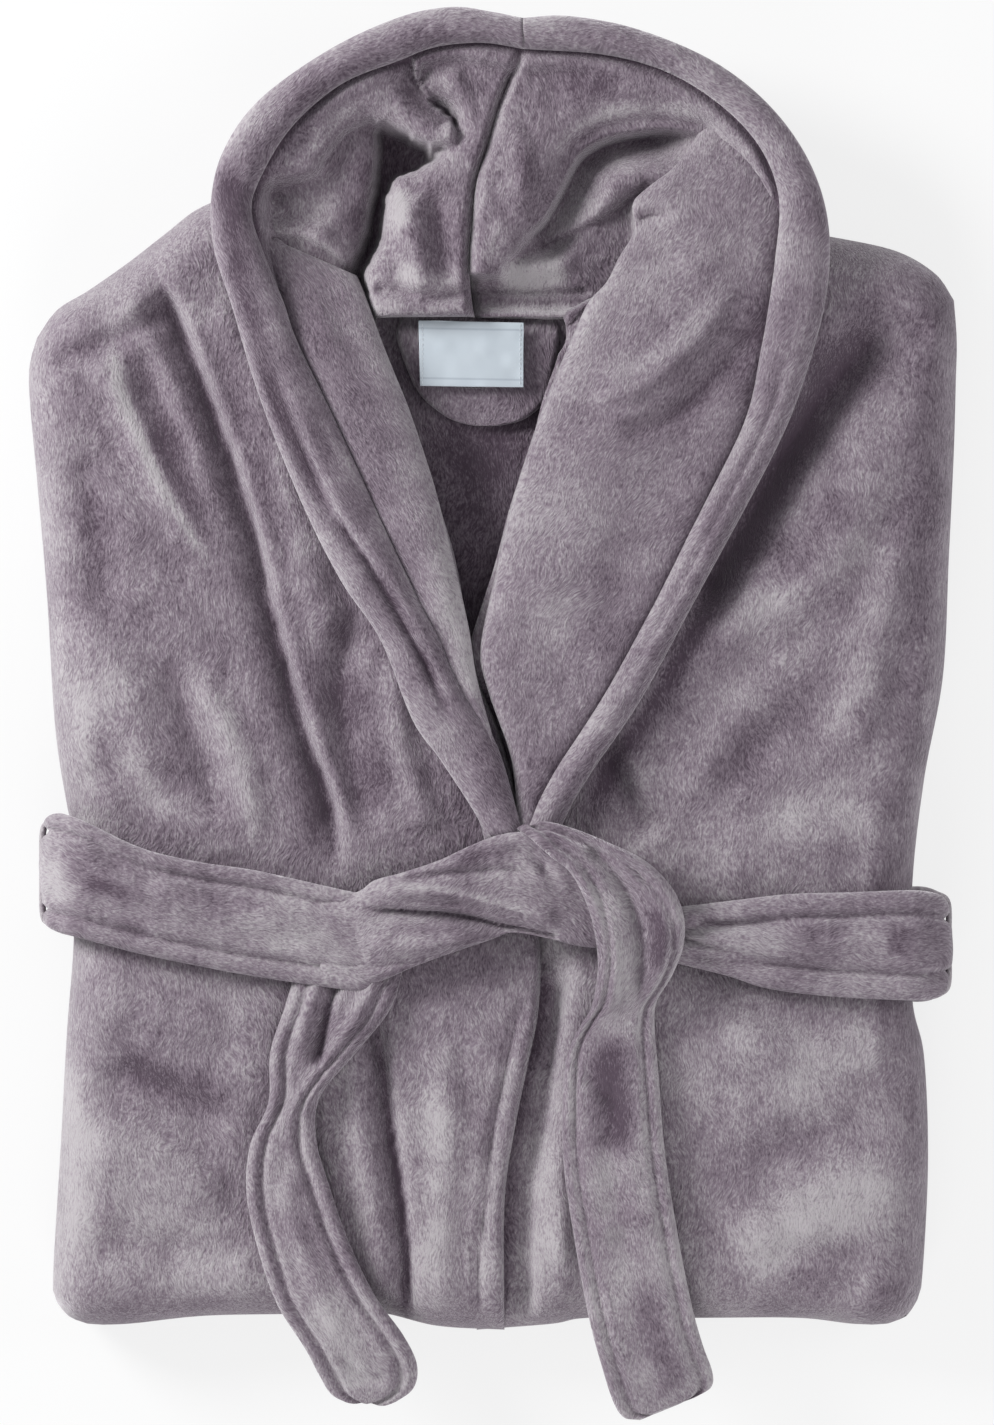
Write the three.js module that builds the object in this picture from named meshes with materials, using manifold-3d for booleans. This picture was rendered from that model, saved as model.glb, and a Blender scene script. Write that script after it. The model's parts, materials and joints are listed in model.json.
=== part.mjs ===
// A hooded plush bathrobe, folded for the shelf with its front up and tied with its own belt.
// Millimetres, +Z up. The bundle lies flat on z = 0, the hood points to +Y and the belt tails
// to -Y. Left and right are the wearer's, so the wearer's right side is at -X.
import * as THREE from 'three';
import { mergeVertices } from 'three/addons/utils/BufferGeometryUtils.js';
import Module from 'manifold-3d';

const wasm = await Module();
wasm.setup();

// ---- driving dimensions ----
const gap = 0.4; // air kept between two pieces that touch
const seamGap = 1.5; // the same between two pieces that share a curved seam
const bundleHalf = 232.5; // half the width of the folded bundle
const waistHalf = 209.5; // half its width where the belt pulls it in
const beltWidth = 50;
const neckLine = 205; // where the hood is sewn to the body, and its hinge line

// Tops of the layers of the folded stack, from the face that it rests on
const skirtTop = 8; // skirt, turned under the bundle
const backLowTop = 13.6; // back panel below its bottom fold
const sleeveTop = 24.4; // the two sleeves, laid down behind the back
const backTop = 30; // back panel, seen inside the neck
const underlapTop = 38.6; // left front where the right front covers it
const frontTop = 50; // both fronts
const lapelTop = 57; // lapels, turned outwards
const lapelBandTop = 61; // stuffed edge band of the lapels
const rimTop = 65; // stuffed rim band of the hood
const beltTop = 56.5;
const crossingTop = 67; // strand of the belt that runs into the knot
const knotTop = 76;

// ---- cloth colours ----
const plush = new THREE.MeshStandardMaterial({ color: 0x9b8e98, roughness: 0.95, metalness: 0 });
const plushTrim = new THREE.MeshStandardMaterial({ color: 0xa2959e, roughness: 0.95, metalness: 0 });
const satin = new THREE.MeshStandardMaterial({ color: 0xc6ced4, roughness: 0.45, metalness: 0 });
const tape = new THREE.MeshStandardMaterial({ color: 0x6f6670, roughness: 0.8, metalness: 0 });

const robe = new THREE.Group();

function add(name, geometry, material) {
  const mesh = new THREE.Mesh(geometry, material);
  mesh.name = name;
  robe.add(mesh);
  return mesh;
}

// ---- shapes ----
const at = ([x, y]) => new THREE.Vector2(x, y);
const shifted = (points, dx, dy = 0) => points.map(([x, y]) => [x + dx, y + dy]);

// Closed outline between two edges that run the same way, each a smooth curve
function between(one, other) {
  const shape = new THREE.Shape();
  shape.moveTo(...one[0]);
  shape.splineThru(one.slice(1).map(at));
  shape.lineTo(...other[other.length - 1]);
  shape.splineThru(other.slice(0, -1).reverse().map(at));
  shape.closePath();
  return shape;
}

function rectangle(x0, y0, x1, y1) {
  const shape = new THREE.Shape();
  shape.moveTo(x0, y0);
  shape.lineTo(x1, y0);
  shape.lineTo(x1, y1);
  shape.lineTo(x0, y1);
  shape.closePath();
  return shape;
}

// A flat pad of cloth with soft edges, from one level to another
function pad(shape, low, high, { soft = 2, rounds = 1, detail = 1 } = {}) {
  const geometry = new THREE.ExtrudeGeometry(shape, {
    depth: high - low - 2 * soft,
    bevelEnabled: soft > 0,
    bevelThickness: soft,
    bevelSize: soft,
    bevelOffset: -soft,
    bevelSegments: rounds,
    curveSegments: detail,
  });
  return geometry.translate(0, 0, low + soft);
}

function block(x0, y0, z0, x1, y1, z1) {
  const geometry = new THREE.BoxGeometry(x1 - x0, y1 - y0, z1 - z0);
  return geometry.translate((x0 + x1) / 2, (y0 + y1) / 2, (z0 + z1) / 2);
}

// ---- joining and cutting ----
function toSolid(geometry) {
  const bare = geometry.clone();
  bare.deleteAttribute('normal');
  bare.deleteAttribute('uv');
  const merged = mergeVertices(bare, 1e-4);
  return new wasm.Manifold(new wasm.Mesh({
    numProp: 3,
    vertProperties: merged.attributes.position.array,
    triVerts: merged.index.array,
  }));
}

function toGeometry(solid) {
  const mesh = solid.getMesh();
  const geometry = new THREE.BufferGeometry();
  geometry.setAttribute('position', new THREE.BufferAttribute(mesh.vertProperties, 3));
  geometry.setIndex(new THREE.BufferAttribute(mesh.triVerts, 1));
  geometry.computeVertexNormals();
  return geometry;
}

function join(first, ...others) {
  return toGeometry(others.reduce((whole, one) => whole.add(toSolid(one)), toSolid(first)));
}

function cut(first, ...tools) {
  return toGeometry(tools.reduce((left, one) => left.subtract(toSolid(one)), toSolid(first)));
}

// A strap between two edges whose height follows a rule, so that it can droop
function strap(one, other, lowAt, thickness, along) {
  const across = 4;
  const edge = 0.14; // share of the width that slopes down at each side
  const steps = [0, edge, 0.5, 1 - edge, 1];
  const curves = [one, other].map((points) => (
    new THREE.CatmullRomCurve3(points.map(([x, y]) => new THREE.Vector3(x, y, 0)))
  ));
  const geometry = new THREE.BoxGeometry(1, 1, 1, across, along, 1);
  const place = geometry.attributes.position;
  for (let i = 0; i < place.count; i += 1) {
    const column = Math.round((place.getX(i) + 0.5) * across);
    const run = 0.5 - place.getY(i);
    const [a, b] = curves.map((curve) => curve.getPointAt(run));
    const point = a.lerp(b, steps[column]);
    const rim = column === 0 || column === across ? 0.6 : 1;
    const top = place.getZ(i) > 0 ? thickness * rim : 0;
    place.setXYZ(i, point.x, point.y, lowAt(point.y) + top);
  }
  return geometry;
}

// ---- outlines shared by neighbours ----
// Free edge of the right front, from its hem fold up to the crossing of the lapels
const frontEdge = [
  [6, -310], [6, -245], [11, -208], [17, -178], [23, -148],
  [24, -118], [21, -85], [15, -52], [4, -10], [-9, 25],
];

// Inner edges of the neck opening, from the crossing up to the neck line
const rightNeckEdge = [[-9, 25], [-19, 80], [-33, 122], [-47, 158], [-60, 188], [-72, 203]];
const leftNeckEdge = [[-7, 28], [1, 73], [9, 103], [20, 136], [26, 158], [36, 183], [48, 203]];

// Seam between each lapel and its stuffed band, from the crossing up to the neck line
const rightBandSeam = [
  [13, -50], [2, -14], [-14, 12], [-26, 38], [-46, 78], [-76, 143], [-97, 186], [-103, 204],
];
const leftBandSeam = [
  [25, -38], [54, 8], [79, 53], [104, 103], [126, 148], [134, 183], [138, 204],
];

// Outer edges of the stuffed bands
const rightBandEdge = [
  [-8, -50], [-26, -22], [-40, -2], [-56, 38], [-76, 68], [-96, 108], [-116, 158], [-130, 204],
];
const leftBandEdge = [
  [35, -50], [49, -29], [74, 8], [104, 63], [139, 128], [154, 163], [165, 204],
];

// Centre line of the belt where it goes round each side of the bundle
const rightBeltY = -85;
const leftBeltY = -114;
const beltBackY = (x) => rightBeltY + (leftBeltY - rightBeltY) * (x + waistHalf) / (2 * waistHalf);

// ---- body of the robe ----
const pocketSize = { width: 150, height: 142, thickness: 4, bottom: -290, inner: 38 };

function pocketShape(side, grow = 0) {
  const inner = side * (pocketSize.inner - grow);
  const outer = side * (pocketSize.inner + pocketSize.width + grow);
  const bottom = pocketSize.bottom - grow;
  const top = pocketSize.bottom + pocketSize.height + grow;
  return rectangle(Math.min(inner, outer), bottom, Math.max(inner, outer), top);
}

function backRunShape(grow = 0) {
  const half = beltWidth / 2 + grow;
  const ends = [-waistHalf + 4 - 12 * grow, waistHalf - 4 + 12 * grow];
  const lower = ends.map((x) => [x, beltBackY(x) - half]);
  const upper = ends.map((x) => [x, beltBackY(x) + half]);
  return between(lower, upper);
}

// Everything that lies in or under a front panel, taken out of it
function frontHollows(side) {
  return [
    block(-waistHalf + 5, -294, skirtTop, waistHalf - 5, 300, backTop + gap),
    pad(backRunShape(2), -3, 5, { soft: 0 }),
    pad(pocketShape(side, 1), -3, pocketSize.thickness + gap, { soft: 0 }),
  ];
}

const skirtHem = 172; // where the hem of the turned-under skirt ends
const sideRound = { soft: 11, rounds: 2 };

function rightFrontPanel() {
  const side = [
    [-116, 256], [-141, 258], [-157, 244], [-176, 226], [-196, 212], [-216, 199],
    [-231, 184], [-bundleHalf + 0.6, 160], [-226, 118], [-220, 60], [-216, -5], [-211, -45],
    [-waistHalf, -62], [-waistHalf, -112], [-211, -160], [-216, -215], [-219, -284],
    [-212, -306], [-190, -308], [-146, -303], [-60, -300], [-26, -308],
  ];
  const inner = [[-112, 203], ...[...frontEdge, ...rightNeckEdge.slice(1)].reverse()];
  const whole = pad(between(side, inner), 0, frontTop, sideRound);
  const underlap = pad(between(shifted(frontEdge, -38), shifted(frontEdge, 20)),
    backTop, underlapTop + gap, { soft: 0 });
  const skirt = block(-120, 27, 0, -9.5, skirtHem, skirtTop);
  return join(cut(whole, ...frontHollows(-1), underlap), skirt);
}

function leftFrontPanel() {
  const side = [
    [136, 238], [169, 234], [196, 227], [222, 219], [230.5, 208], [bundleHalf, 172],
    [229, 133], [226, 88], [222, 30], [214, -32], [waistHalf, -86], [waistHalf, -142],
    [214, -172], [218, -225], [215, -285], [208, -306], [186, -308], [154, -304],
    [104, -304], [49, -304], [30, -307],
  ];
  const inner = [[131, 203], ...[...shifted(frontEdge, 2.5), ...leftNeckEdge.slice(1)].reverse()];
  const whole = pad(between(side, inner), 0, frontTop, sideRound);
  const covered = frontEdge.slice(1, -1);
  const underlap = pad(between(shifted(covered, -34), shifted(covered, 14)),
    backTop + gap, underlapTop, { soft: 1 });
  const skirt = block(-6.5, 27, 0, 120, skirtHem, skirtTop);
  return join(cut(whole, ...frontHollows(1)), underlap, skirt);
}

// Upper and lower layer of the back, joined where the skirt is turned under
function backPanel() {
  const half = waistHalf - 5 - gap;
  const upper = block(-half, -293, backTop - 4, half, 203, backTop);
  const lower = block(-half, -293, skirtTop + gap, half, 150, backLowTop);
  const fold = block(-half, -293, skirtTop + gap, half, -287, backTop);
  return join(upper, lower, fold);
}

// A sleeve laid down behind the back, flat, with its cuff turned up at the end
const sleeveEnd = -222;
const cuffLength = 60;

function sleeve(side) {
  const outer = [[198, 188], [200, 60], [194, -100], [190, sleeveEnd]];
  const inner = [[20, 150], [26, 40], [34, -100], [40, sleeveEnd]];
  const mirror = (points) => points.map(([x, y]) => [side * x, y]);
  return pad(between(mirror(outer), mirror(inner)), backLowTop + gap, sleeveTop);
}

function cuff(side) {
  const top = sleeveEnd - gap;
  const shape = rectangle(Math.min(side * 36, side * 194), top - cuffLength,
    Math.max(side * 36, side * 194), top);
  return pad(shape, backLowTop + gap, sleeveTop + 0.8);
}

function careLabel() {
  return block(-170, -60, sleeveTop + gap, -140, -5, sleeveTop + 1.2);
}

// ---- neck ----
const labelTop = 199;

function neckFacing() {
  const shape = new THREE.Shape();
  shape.moveTo(-45, 202);
  shape.bezierCurveTo(-42, 166, -24, 148, -4, 147);
  shape.bezierCurveTo(16, 148, 31, 166, 33, 202);
  shape.closePath();
  return pad(shape, backTop + gap, backTop + 4, { soft: 1, detail: 8 });
}

function neckLabel() {
  return block(-37, labelTop - 34, 39.4, 16, labelTop, 40.2);
}

function hangerLoop() {
  const arms = rectangle(-26, labelTop - 35.5, 6, labelTop - 1);
  const whole = pad(arms, 34.8, 36.4, { soft: 0 });
  return cut(whole, block(-18.5, labelTop - 28.5, 30, -1.5, labelTop - 5, 40));
}

// ---- lapels and bands ----
// The right lapel lies over the left one, so it runs on a little further
function rightLapel() {
  const edge = [[-4, 12], ...rightNeckEdge.slice(0, -1), [-69, 204]];
  const seam = shifted(rightBandSeam.slice(2), seamGap);
  return pad(between(edge, seam), frontTop + gap, lapelTop, { soft: 1.5 });
}

function leftLapel() {
  const edge = [[17, -38], [4, 10], ...leftNeckEdge.slice(1, -1), [48, 204]];
  const seam = shifted(leftBandSeam, -seamGap);
  return pad(between(edge, seam), frontTop + gap, lapelTop, { soft: 1.5 });
}

function lapelBand(seam, edge) {
  return pad(between(seam, edge), frontTop + gap, lapelBandTop, { soft: 3, rounds: 2 });
}

// ---- hood ----
const hoodSeamX = 14.5; // centre seam where it meets the rim
const hoodSeam = [[-10, 206], [-11, 235], [-4, 268], [4, 298], [hoodSeamX, 341]];

function hoodScoop() {
  return new THREE.SphereGeometry(1, 24, 14).scale(96, 62, 24).translate(10, 262, 54);
}

function hoodHalf(edge, seam) {
  return cut(pad(between(edge, seam), 2, frontTop, { soft: 6, rounds: 2 }), hoodScoop());
}

function rightHoodHalf() {
  const edge = [[-104, 206], [-106, 232], [-112, 262], [-131, 272], [-118, 298],
    [-84, 324], [-46, 341], [-16, 346], [hoodSeamX - 0.4, 341]];
  return hoodHalf(edge, shifted(hoodSeam.slice(0, -1), -0.3).concat([[hoodSeamX - 0.5, 333]]));
}

function leftHoodHalf() {
  const edge = [[124, 206], [126, 232], [134, 250], [158, 256], [152, 276], [133, 298],
    [100, 318], [62, 335], [34, 341], [hoodSeamX + 0.4, 341]];
  return hoodHalf(edge, shifted(hoodSeam.slice(0, -1), 0.3).concat([[hoodSeamX + 0.5, 333]]));
}

function hoodBand(inner, outer) {
  return pad(between(inner, outer), frontTop + gap, rimTop, { soft: 4, rounds: 2 });
}

const rightRim = {
  inner: [[-104, 206], [-113, 228], [-121, 250], [-117, 266], [-101, 293], [-76, 315],
    [-31, 332], [hoodSeamX - 0.3, 334]],
  outer: [[-131, 206], [-139, 233], [-140.5, 258], [-134, 283], [-116, 308], [-81, 333],
    [-46, 349], [-20, 354], [0, 351.5], [hoodSeamX - 0.3, 347.5]],
};
const leftRim = {
  inner: [[138, 206], [141, 228], [143, 258], [134, 283], [114, 303], [84, 320],
    [54, 329], [hoodSeamX + 0.3, 334]],
  outer: [[166, 206], [168, 243], [159, 275], [139, 303], [104, 325], [64, 342],
    [34, 348], [hoodSeamX + 0.3, 347.5]],
};

// ---- belt ----
// A run of the belt from its inner end on the front, round the side, to the back run.
// half is the half width of the belt at a place x, middle its centre line there.
function beltRun(side, innerX, outerX, half, middle) {
  const low = frontTop + gap;
  const inside = waistHalf + 1;
  const shape = new THREE.Shape();
  const steps = 6;
  shape.moveTo(side * innerX, low);
  for (let i = 1; i <= steps; i += 1) {
    shape.lineTo(side * THREE.MathUtils.lerp(innerX, inside - 6, i / steps), low);
  }
  shape.lineTo(side * inside, low - 6);
  shape.lineTo(side * inside, 5);
  shape.lineTo(side * (waistHalf - 3), 4.6);
  shape.lineTo(side * (waistHalf - 3), 0);
  shape.lineTo(side * (outerX - 4), 0);
  shape.lineTo(side * outerX, 6);
  shape.lineTo(side * outerX, beltTop - 12);
  shape.lineTo(side * (outerX - 5), beltTop - 3);
  shape.lineTo(side * (outerX - 14), beltTop);
  for (let i = steps - 1; i >= 0; i -= 1) {
    shape.lineTo(side * THREE.MathUtils.lerp(innerX, outerX - 14, i / steps), beltTop);
  }
  shape.closePath();
  const geometry = new THREE.ExtrudeGeometry(shape, { depth: 1, bevelEnabled: false });
  const place = geometry.attributes.position;
  for (let i = 0; i < place.count; i += 1) {
    const x = place.getX(i);
    const share = 1 - place.getZ(i);
    place.setXYZ(i, x, middle(x) + (2 * share - 1) * half(x), place.getY(i));
  }
  return geometry;
}

function rightBeltRun() {
  const slope = -0.2;
  return beltRun(-1, 76, 224, () => beltWidth / 2, (x) => rightBeltY + slope * (x + waistHalf));
}

function leftBeltRun() {
  const half = (x) => THREE.MathUtils.mapLinear(Math.min(x, 190), 97, 190, 12, beltWidth / 2);
  return beltRun(1, 97, 227, half, (x) => THREE.MathUtils.mapLinear(x, 97, 227, -105, -115));
}

function backBeltRun() {
  return pad(backRunShape(), 0, 4.6, { soft: 1 });
}

// The strand that sweeps up from the right run into the knot
function beltCrossing() {
  const upper = [[-74.5, -87], [-48, -75], [-20, -66], [10, -62], [22, -64]];
  const lower = [[-74.5, -136], [-52, -131], [-20, -119], [8, -110], [30, -112]];
  return pad(between(lower, upper), frontTop + gap, crossingTop, { soft: 3, rounds: 2 });
}

function beltKnot() {
  const left = [[24, -61], [38, -76], [47, -96], [54, -122]];
  const right = [[40, -58], [66, -69], [86, -88], [94, -106], [92, -122]];
  return pad(between(left, right), frontTop + gap, knotTop, { soft: 7, rounds: 2 });
}

// Narrow carriers at the side seams that hold the belt
function beltCarrier(side, y, outerX) {
  const half = beltWidth / 2 + 6;
  const inside = side * (outerX + 0.6);
  const outside = side * (outerX + 3.2);
  const root = side * (waistHalf + 4);
  const shape = new THREE.Shape();
  shape.moveTo(root, y - half);
  shape.lineTo(outside, y - half + 2);
  shape.lineTo(outside, y + half - 2);
  shape.lineTo(root, y + half);
  shape.lineTo(root, y + half - 3);
  shape.lineTo(inside, y + half - 4.5);
  shape.lineTo(inside, y - half + 4.5);
  shape.lineTo(root, y - half + 3);
  shape.closePath();
  return pad(shape, 20, 30, { soft: 0 });
}

// ---- belt tails ----
const bundleFoot = -311; // where the tails run off the bottom fold and droop
const tailRest = frontTop + gap + 0.4;
const tailThickness = 6.5;

function droop(y) {
  const past = Math.max(0, bundleFoot - y);
  return tailRest - past * 0.45;
}

function rightTail() {
  const left = [[-103, -141], [-111, -166], [-112, -193], [-121, -214], [-123, -237],
    [-118, -263], [-108, -293], [-92, -318], [-85, -338], [-72, -345]];
  const right = [[-46, -141], [-62, -165], [-86, -188], [-88, -211], [-82, -233],
    [-72, -264], [-59, -289], [-44, -309], [-37, -326], [-44, -344]];
  return strap(left, right, droop, tailThickness, 20);
}

function leftTail() {
  const left = [[53, -126], [48, -147], [38, -165], [35, -217], [40, -256], [48, -303],
    [56, -338], [68, -354]];
  const right = [[92, -126], [81, -148], [85, -217], [92, -256], [98, -288], [106, -320],
    [112, -334], [108, -338]];
  return strap(left, right, droop, tailThickness, 20);
}

// ---- assembly ----
add('right_front_panel', rightFrontPanel(), plush);
add('left_front_panel', leftFrontPanel(), plush);
add('back_panel', backPanel(), plush);
for (const [name, side] of [['right', -1], ['left', 1]]) {
  add(`${name}_sleeve`, sleeve(side), plush);
  add(`${name}_cuff`, cuff(side), plushTrim);
  add(`${name}_pocket`, pad(pocketShape(side), 0, pocketSize.thickness, { soft: 1 }), plush);
}
add('care_label', careLabel(), satin);
add('neck_facing', neckFacing(), plush);
add('neck_label', neckLabel(), satin);
add('hanger_loop', hangerLoop(), tape);
add('right_lapel', rightLapel(), plush);
add('left_lapel', leftLapel(), plush);
add('right_lapel_band', lapelBand(rightBandSeam, rightBandEdge), plushTrim);
add('left_lapel_band', lapelBand(leftBandSeam, leftBandEdge), plushTrim);
add('hood_right_half', rightHoodHalf(), plush);
add('hood_left_half', leftHoodHalf(), plush);
add('hood_band_right', hoodBand(rightRim.inner, rightRim.outer), plushTrim);
add('hood_band_left', hoodBand(leftRim.inner, leftRim.outer), plushTrim);
add('belt_right_run', rightBeltRun(), plushTrim);
add('belt_left_run', leftBeltRun(), plushTrim);
add('belt_back_run', backBeltRun(), plushTrim);
add('belt_crossing', beltCrossing(), plushTrim);
add('belt_knot', beltKnot(), plushTrim);
add('right_belt_loop', beltCarrier(-1, rightBeltY + 3, 224), plushTrim);
add('left_belt_loop', beltCarrier(1, -115, 227), plushTrim);
add('right_tail', rightTail(), plushTrim);
add('left_tail', leftTail(), plushTrim);

export default robe;
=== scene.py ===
import json
import bpy
import bmesh
import numpy as np
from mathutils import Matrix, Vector

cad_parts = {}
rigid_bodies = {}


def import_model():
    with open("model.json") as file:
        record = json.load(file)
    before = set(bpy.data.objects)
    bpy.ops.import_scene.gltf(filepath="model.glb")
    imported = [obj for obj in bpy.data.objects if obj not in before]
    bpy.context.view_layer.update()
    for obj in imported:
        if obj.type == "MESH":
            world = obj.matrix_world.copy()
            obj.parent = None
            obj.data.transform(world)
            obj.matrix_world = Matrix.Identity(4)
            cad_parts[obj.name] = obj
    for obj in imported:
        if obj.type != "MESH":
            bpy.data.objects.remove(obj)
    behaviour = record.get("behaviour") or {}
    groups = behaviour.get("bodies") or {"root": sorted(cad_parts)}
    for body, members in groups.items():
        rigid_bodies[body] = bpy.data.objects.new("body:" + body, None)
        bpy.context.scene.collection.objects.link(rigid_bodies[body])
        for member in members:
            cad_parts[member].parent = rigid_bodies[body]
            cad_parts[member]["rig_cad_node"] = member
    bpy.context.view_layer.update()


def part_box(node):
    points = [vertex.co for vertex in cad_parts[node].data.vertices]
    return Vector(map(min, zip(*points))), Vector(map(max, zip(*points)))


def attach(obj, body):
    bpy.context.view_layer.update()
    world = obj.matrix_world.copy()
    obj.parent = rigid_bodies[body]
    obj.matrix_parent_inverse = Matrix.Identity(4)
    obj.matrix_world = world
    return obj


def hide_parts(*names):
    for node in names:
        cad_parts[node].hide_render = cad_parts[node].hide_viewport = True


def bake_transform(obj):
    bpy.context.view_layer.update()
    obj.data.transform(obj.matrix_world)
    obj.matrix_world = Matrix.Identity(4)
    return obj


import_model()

# places that everything else is worked out from, in metres
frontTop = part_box("right_front_panel")[1][2]
labelLow, labelHigh = [Vector(c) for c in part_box("neck_label")]
mm = 0.001


# ---- lines, distances and soft lumps ----
def metres(*points):
    return np.array(points, float) * mm


def smoothLine(points, count):
    p = np.array(points, float)
    ends = np.vstack([2 * p[0] - p[1], p, 2 * p[-1] - p[-2]])
    t = np.linspace(0, 1, 14, endpoint=False)[:, None]
    runs = []
    for a, b, c, d in zip(ends, ends[1:], ends[2:], ends[3:]):
        runs.append(b + 0.5 * ((c - a) * t + (2 * a - 5 * b + 4 * c - d) * t ** 2
                               + (3 * b - a - 3 * c + d) * t ** 3))
    line = np.vstack(runs + [p[-1:]])
    length = np.concatenate([[0], np.cumsum(np.linalg.norm(np.diff(line, axis=0), axis=1))])
    at = np.linspace(0, length[-1], count)
    return np.column_stack([np.interp(at, length, line[:, k]) for k in range(line.shape[1])])


def pointsAt(line, share):  # the points of a line at these shares of its length
    every = np.linspace(0, 1, len(line))
    return np.column_stack([np.interp(share, every, line[:, k]) for k in range(line.shape[1])])


def besideLine(x, y, line):  # distance, which side (+1 is left of the way it runs), share of its length
    best = np.full(x.shape, 9.0)
    side = np.ones(x.shape)
    share = np.zeros(x.shape)
    for i, (a, b) in enumerate(zip(line[:-1], line[1:])):
        d = b[:2] - a[:2]
        t = np.clip(((x - a[0]) * d[0] + (y - a[1]) * d[1]) / max(d @ d, 1e-12), 0, 1)
        px, py = x - a[0] - t * d[0], y - a[1] - t * d[1]
        away = np.hypot(px, py)
        near = away < best
        best = np.where(near, away, best)
        side = np.where(near, np.sign(d[0] * py - d[1] * px), side)
        share = np.where(near, (i + t) / (len(line) - 1), share)
    return best, side, share


def inside(x, y, loop):
    odd = np.zeros(x.shape, bool)
    for a, b in zip(loop[:-1], loop[1:]):
        crosses = (a[1] > y) != (b[1] > y)
        rise = b[1] - a[1] if abs(b[1] - a[1]) > 1e-12 else 1e-12
        odd ^= crosses & (x < a[0] + (y - a[1]) * (b[0] - a[0]) / rise)
    return odd


def roundOff(away, reach):  # 0 at an edge, 1 from reach inwards, like a quarter circle
    t = 1 - np.clip(away / reach, 0, 1)
    return np.sqrt(np.clip(1 - t * t, 0, 1))


def ease(t):
    t = np.clip(t, 0, 1)
    return t * t * (3 - 2 * t)


def cloudy(x, y, size, seed):  # smooth lumps about size across, from -1 to 1
    knots = np.random.default_rng(seed).uniform(-1, 1, (61, 67))
    gx, gy = x / size + 30.5, y / size + 31.5
    ix, iy = np.floor(gx).astype(int), np.floor(gy).astype(int)
    fx, fy = ease(gx - ix), ease(gy - iy)
    a, b = knots[ix % 61, iy % 67], knots[(ix + 1) % 61, iy % 67]
    c, d = knots[ix % 61, (iy + 1) % 67], knots[(ix + 1) % 61, (iy + 1) % 67]
    return (a * (1 - fx) + b * fx) * (1 - fy) + (c * (1 - fx) + d * fx) * fy


def tumbled(x, y, seed, much=1.0):  # the uneven surface of plush that has been folded and pressed
    return much * (1.5 * mm * cloudy(x + y * 0.3, y - x * 0.2, 58 * mm, seed)
                   + 0.9 * mm * cloudy(x - y * 0.4, y + x * 0.5, 21 * mm, seed + 1)
                   + 0.42 * mm * cloudy(x + y * 0.2, y, 8 * mm, seed + 2)
                   + 0.3 * mm * cloudy(x, y * 0.6, 3.1 * mm, seed + 3))


# A fold is a line with a height, how far it reaches to its left and to its right, how pointed
# it is from 0 to 1, and the shares of its length over which it fades in and out. Its first four
# values are in millimetres. A stroke is the same with a strength in place of the height: how much
# lighter or darker it paints the pile, partly its own nap and partly painted highlight and shade.
def foldLines(*rows):
    return [(metres(*line), height * mm, left * mm, right * mm, *rest)
            for line, height, left, right, *rest in rows]


def napAndLightStrokeLines(*rows):
    return [(metres(*line), strength, left * mm, right * mm, *rest)
            for line, strength, left, right, *rest in rows]


def foldHeight(x, y, folds):
    total = np.zeros(x.shape)
    for points, height, left, right, point, fadeIn, fadeOut in folds:
        line = smoothLine(points, 14 * len(points))
        away, side, share = besideLine(x, y, line)
        t = 1 - np.clip(away / np.where(side > 0, left, right), 0, 1)
        shape = (1 - point) * ease(t) + point * t * t
        fade = ease(share / max(fadeIn, 1e-6)) * ease((1 - share) / max(fadeOut, 1e-6))
        total += height * shape * fade
    return total


# ---- meshes ----
def newObject(name, data):
    made = bpy.data.objects.new(name, data)
    bpy.context.scene.collection.objects.link(made)
    return made


def applied(piece):  # works the modifiers into the mesh
    bpy.context.view_layer.update()
    evaluated = piece.evaluated_get(bpy.context.evaluated_depsgraph_get())
    solid = bpy.data.meshes.new_from_object(evaluated)
    piece.modifiers.clear()
    piece.data = solid
    return piece


def quadsOf(index):
    return np.stack([index[:-1, :-1], index[:-1, 1:], index[1:, 1:], index[1:, :-1]], -1).reshape(-1, 4)


def finishMesh(name, verts, quads, uvs, material, nap=None):
    mesh = bpy.data.meshes.new(name)
    mesh.from_pydata(verts.tolist(), [], quads.tolist())
    # this attribute holds the pile's brushed nap together with painted highlights and painted shade
    brushed = mesh.attributes.new("nap", "FLOAT", "POINT")
    if nap is not None:
        brushed.data.foreach_set("value", nap.astype(np.float32).ravel())
    layer = mesh.uv_layers.new(name="cloth")
    corners = np.empty(len(mesh.loops), np.int32)
    mesh.loops.foreach_get("vertex_index", corners)
    layer.data.foreach_set("uv", uvs[corners].astype(np.float32).ravel())
    bm = bmesh.new()
    bm.from_mesh(mesh)
    bmesh.ops.remove_doubles(bm, verts=bm.verts, dist=1e-6)
    bmesh.ops.dissolve_degenerate(bm, edges=bm.edges, dist=1e-7)
    bmesh.ops.recalc_face_normals(bm, faces=bm.faces)
    for face in bm.faces:
        face.smooth = True
    bm.to_mesh(mesh)
    bm.free()
    mesh.materials.append(material)
    paintKeyLightSide(mesh)
    return newObject(name, mesh)


def paintKeyLightSide(mesh):  # painted light: the pile is painted lighter where the cloth faces left and towards the hood end, the side the key lamp stands on, and darker where it faces away
    normals = np.empty(len(mesh.vertices) * 3, np.float32)
    mesh.vertices.foreach_get("normal", normals)
    normals = normals.reshape(-1, 3)
    value = np.empty(len(mesh.vertices), np.float32)
    mesh.attributes["nap"].data.foreach_get("value", value)
    facingKeyLamp = -0.75 * normals[:, 0] + 0.35 * normals[:, 1]
    mesh.attributes["nap"].data.foreach_set("value", value + np.tanh(facingKeyLamp * 1.3))


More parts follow.
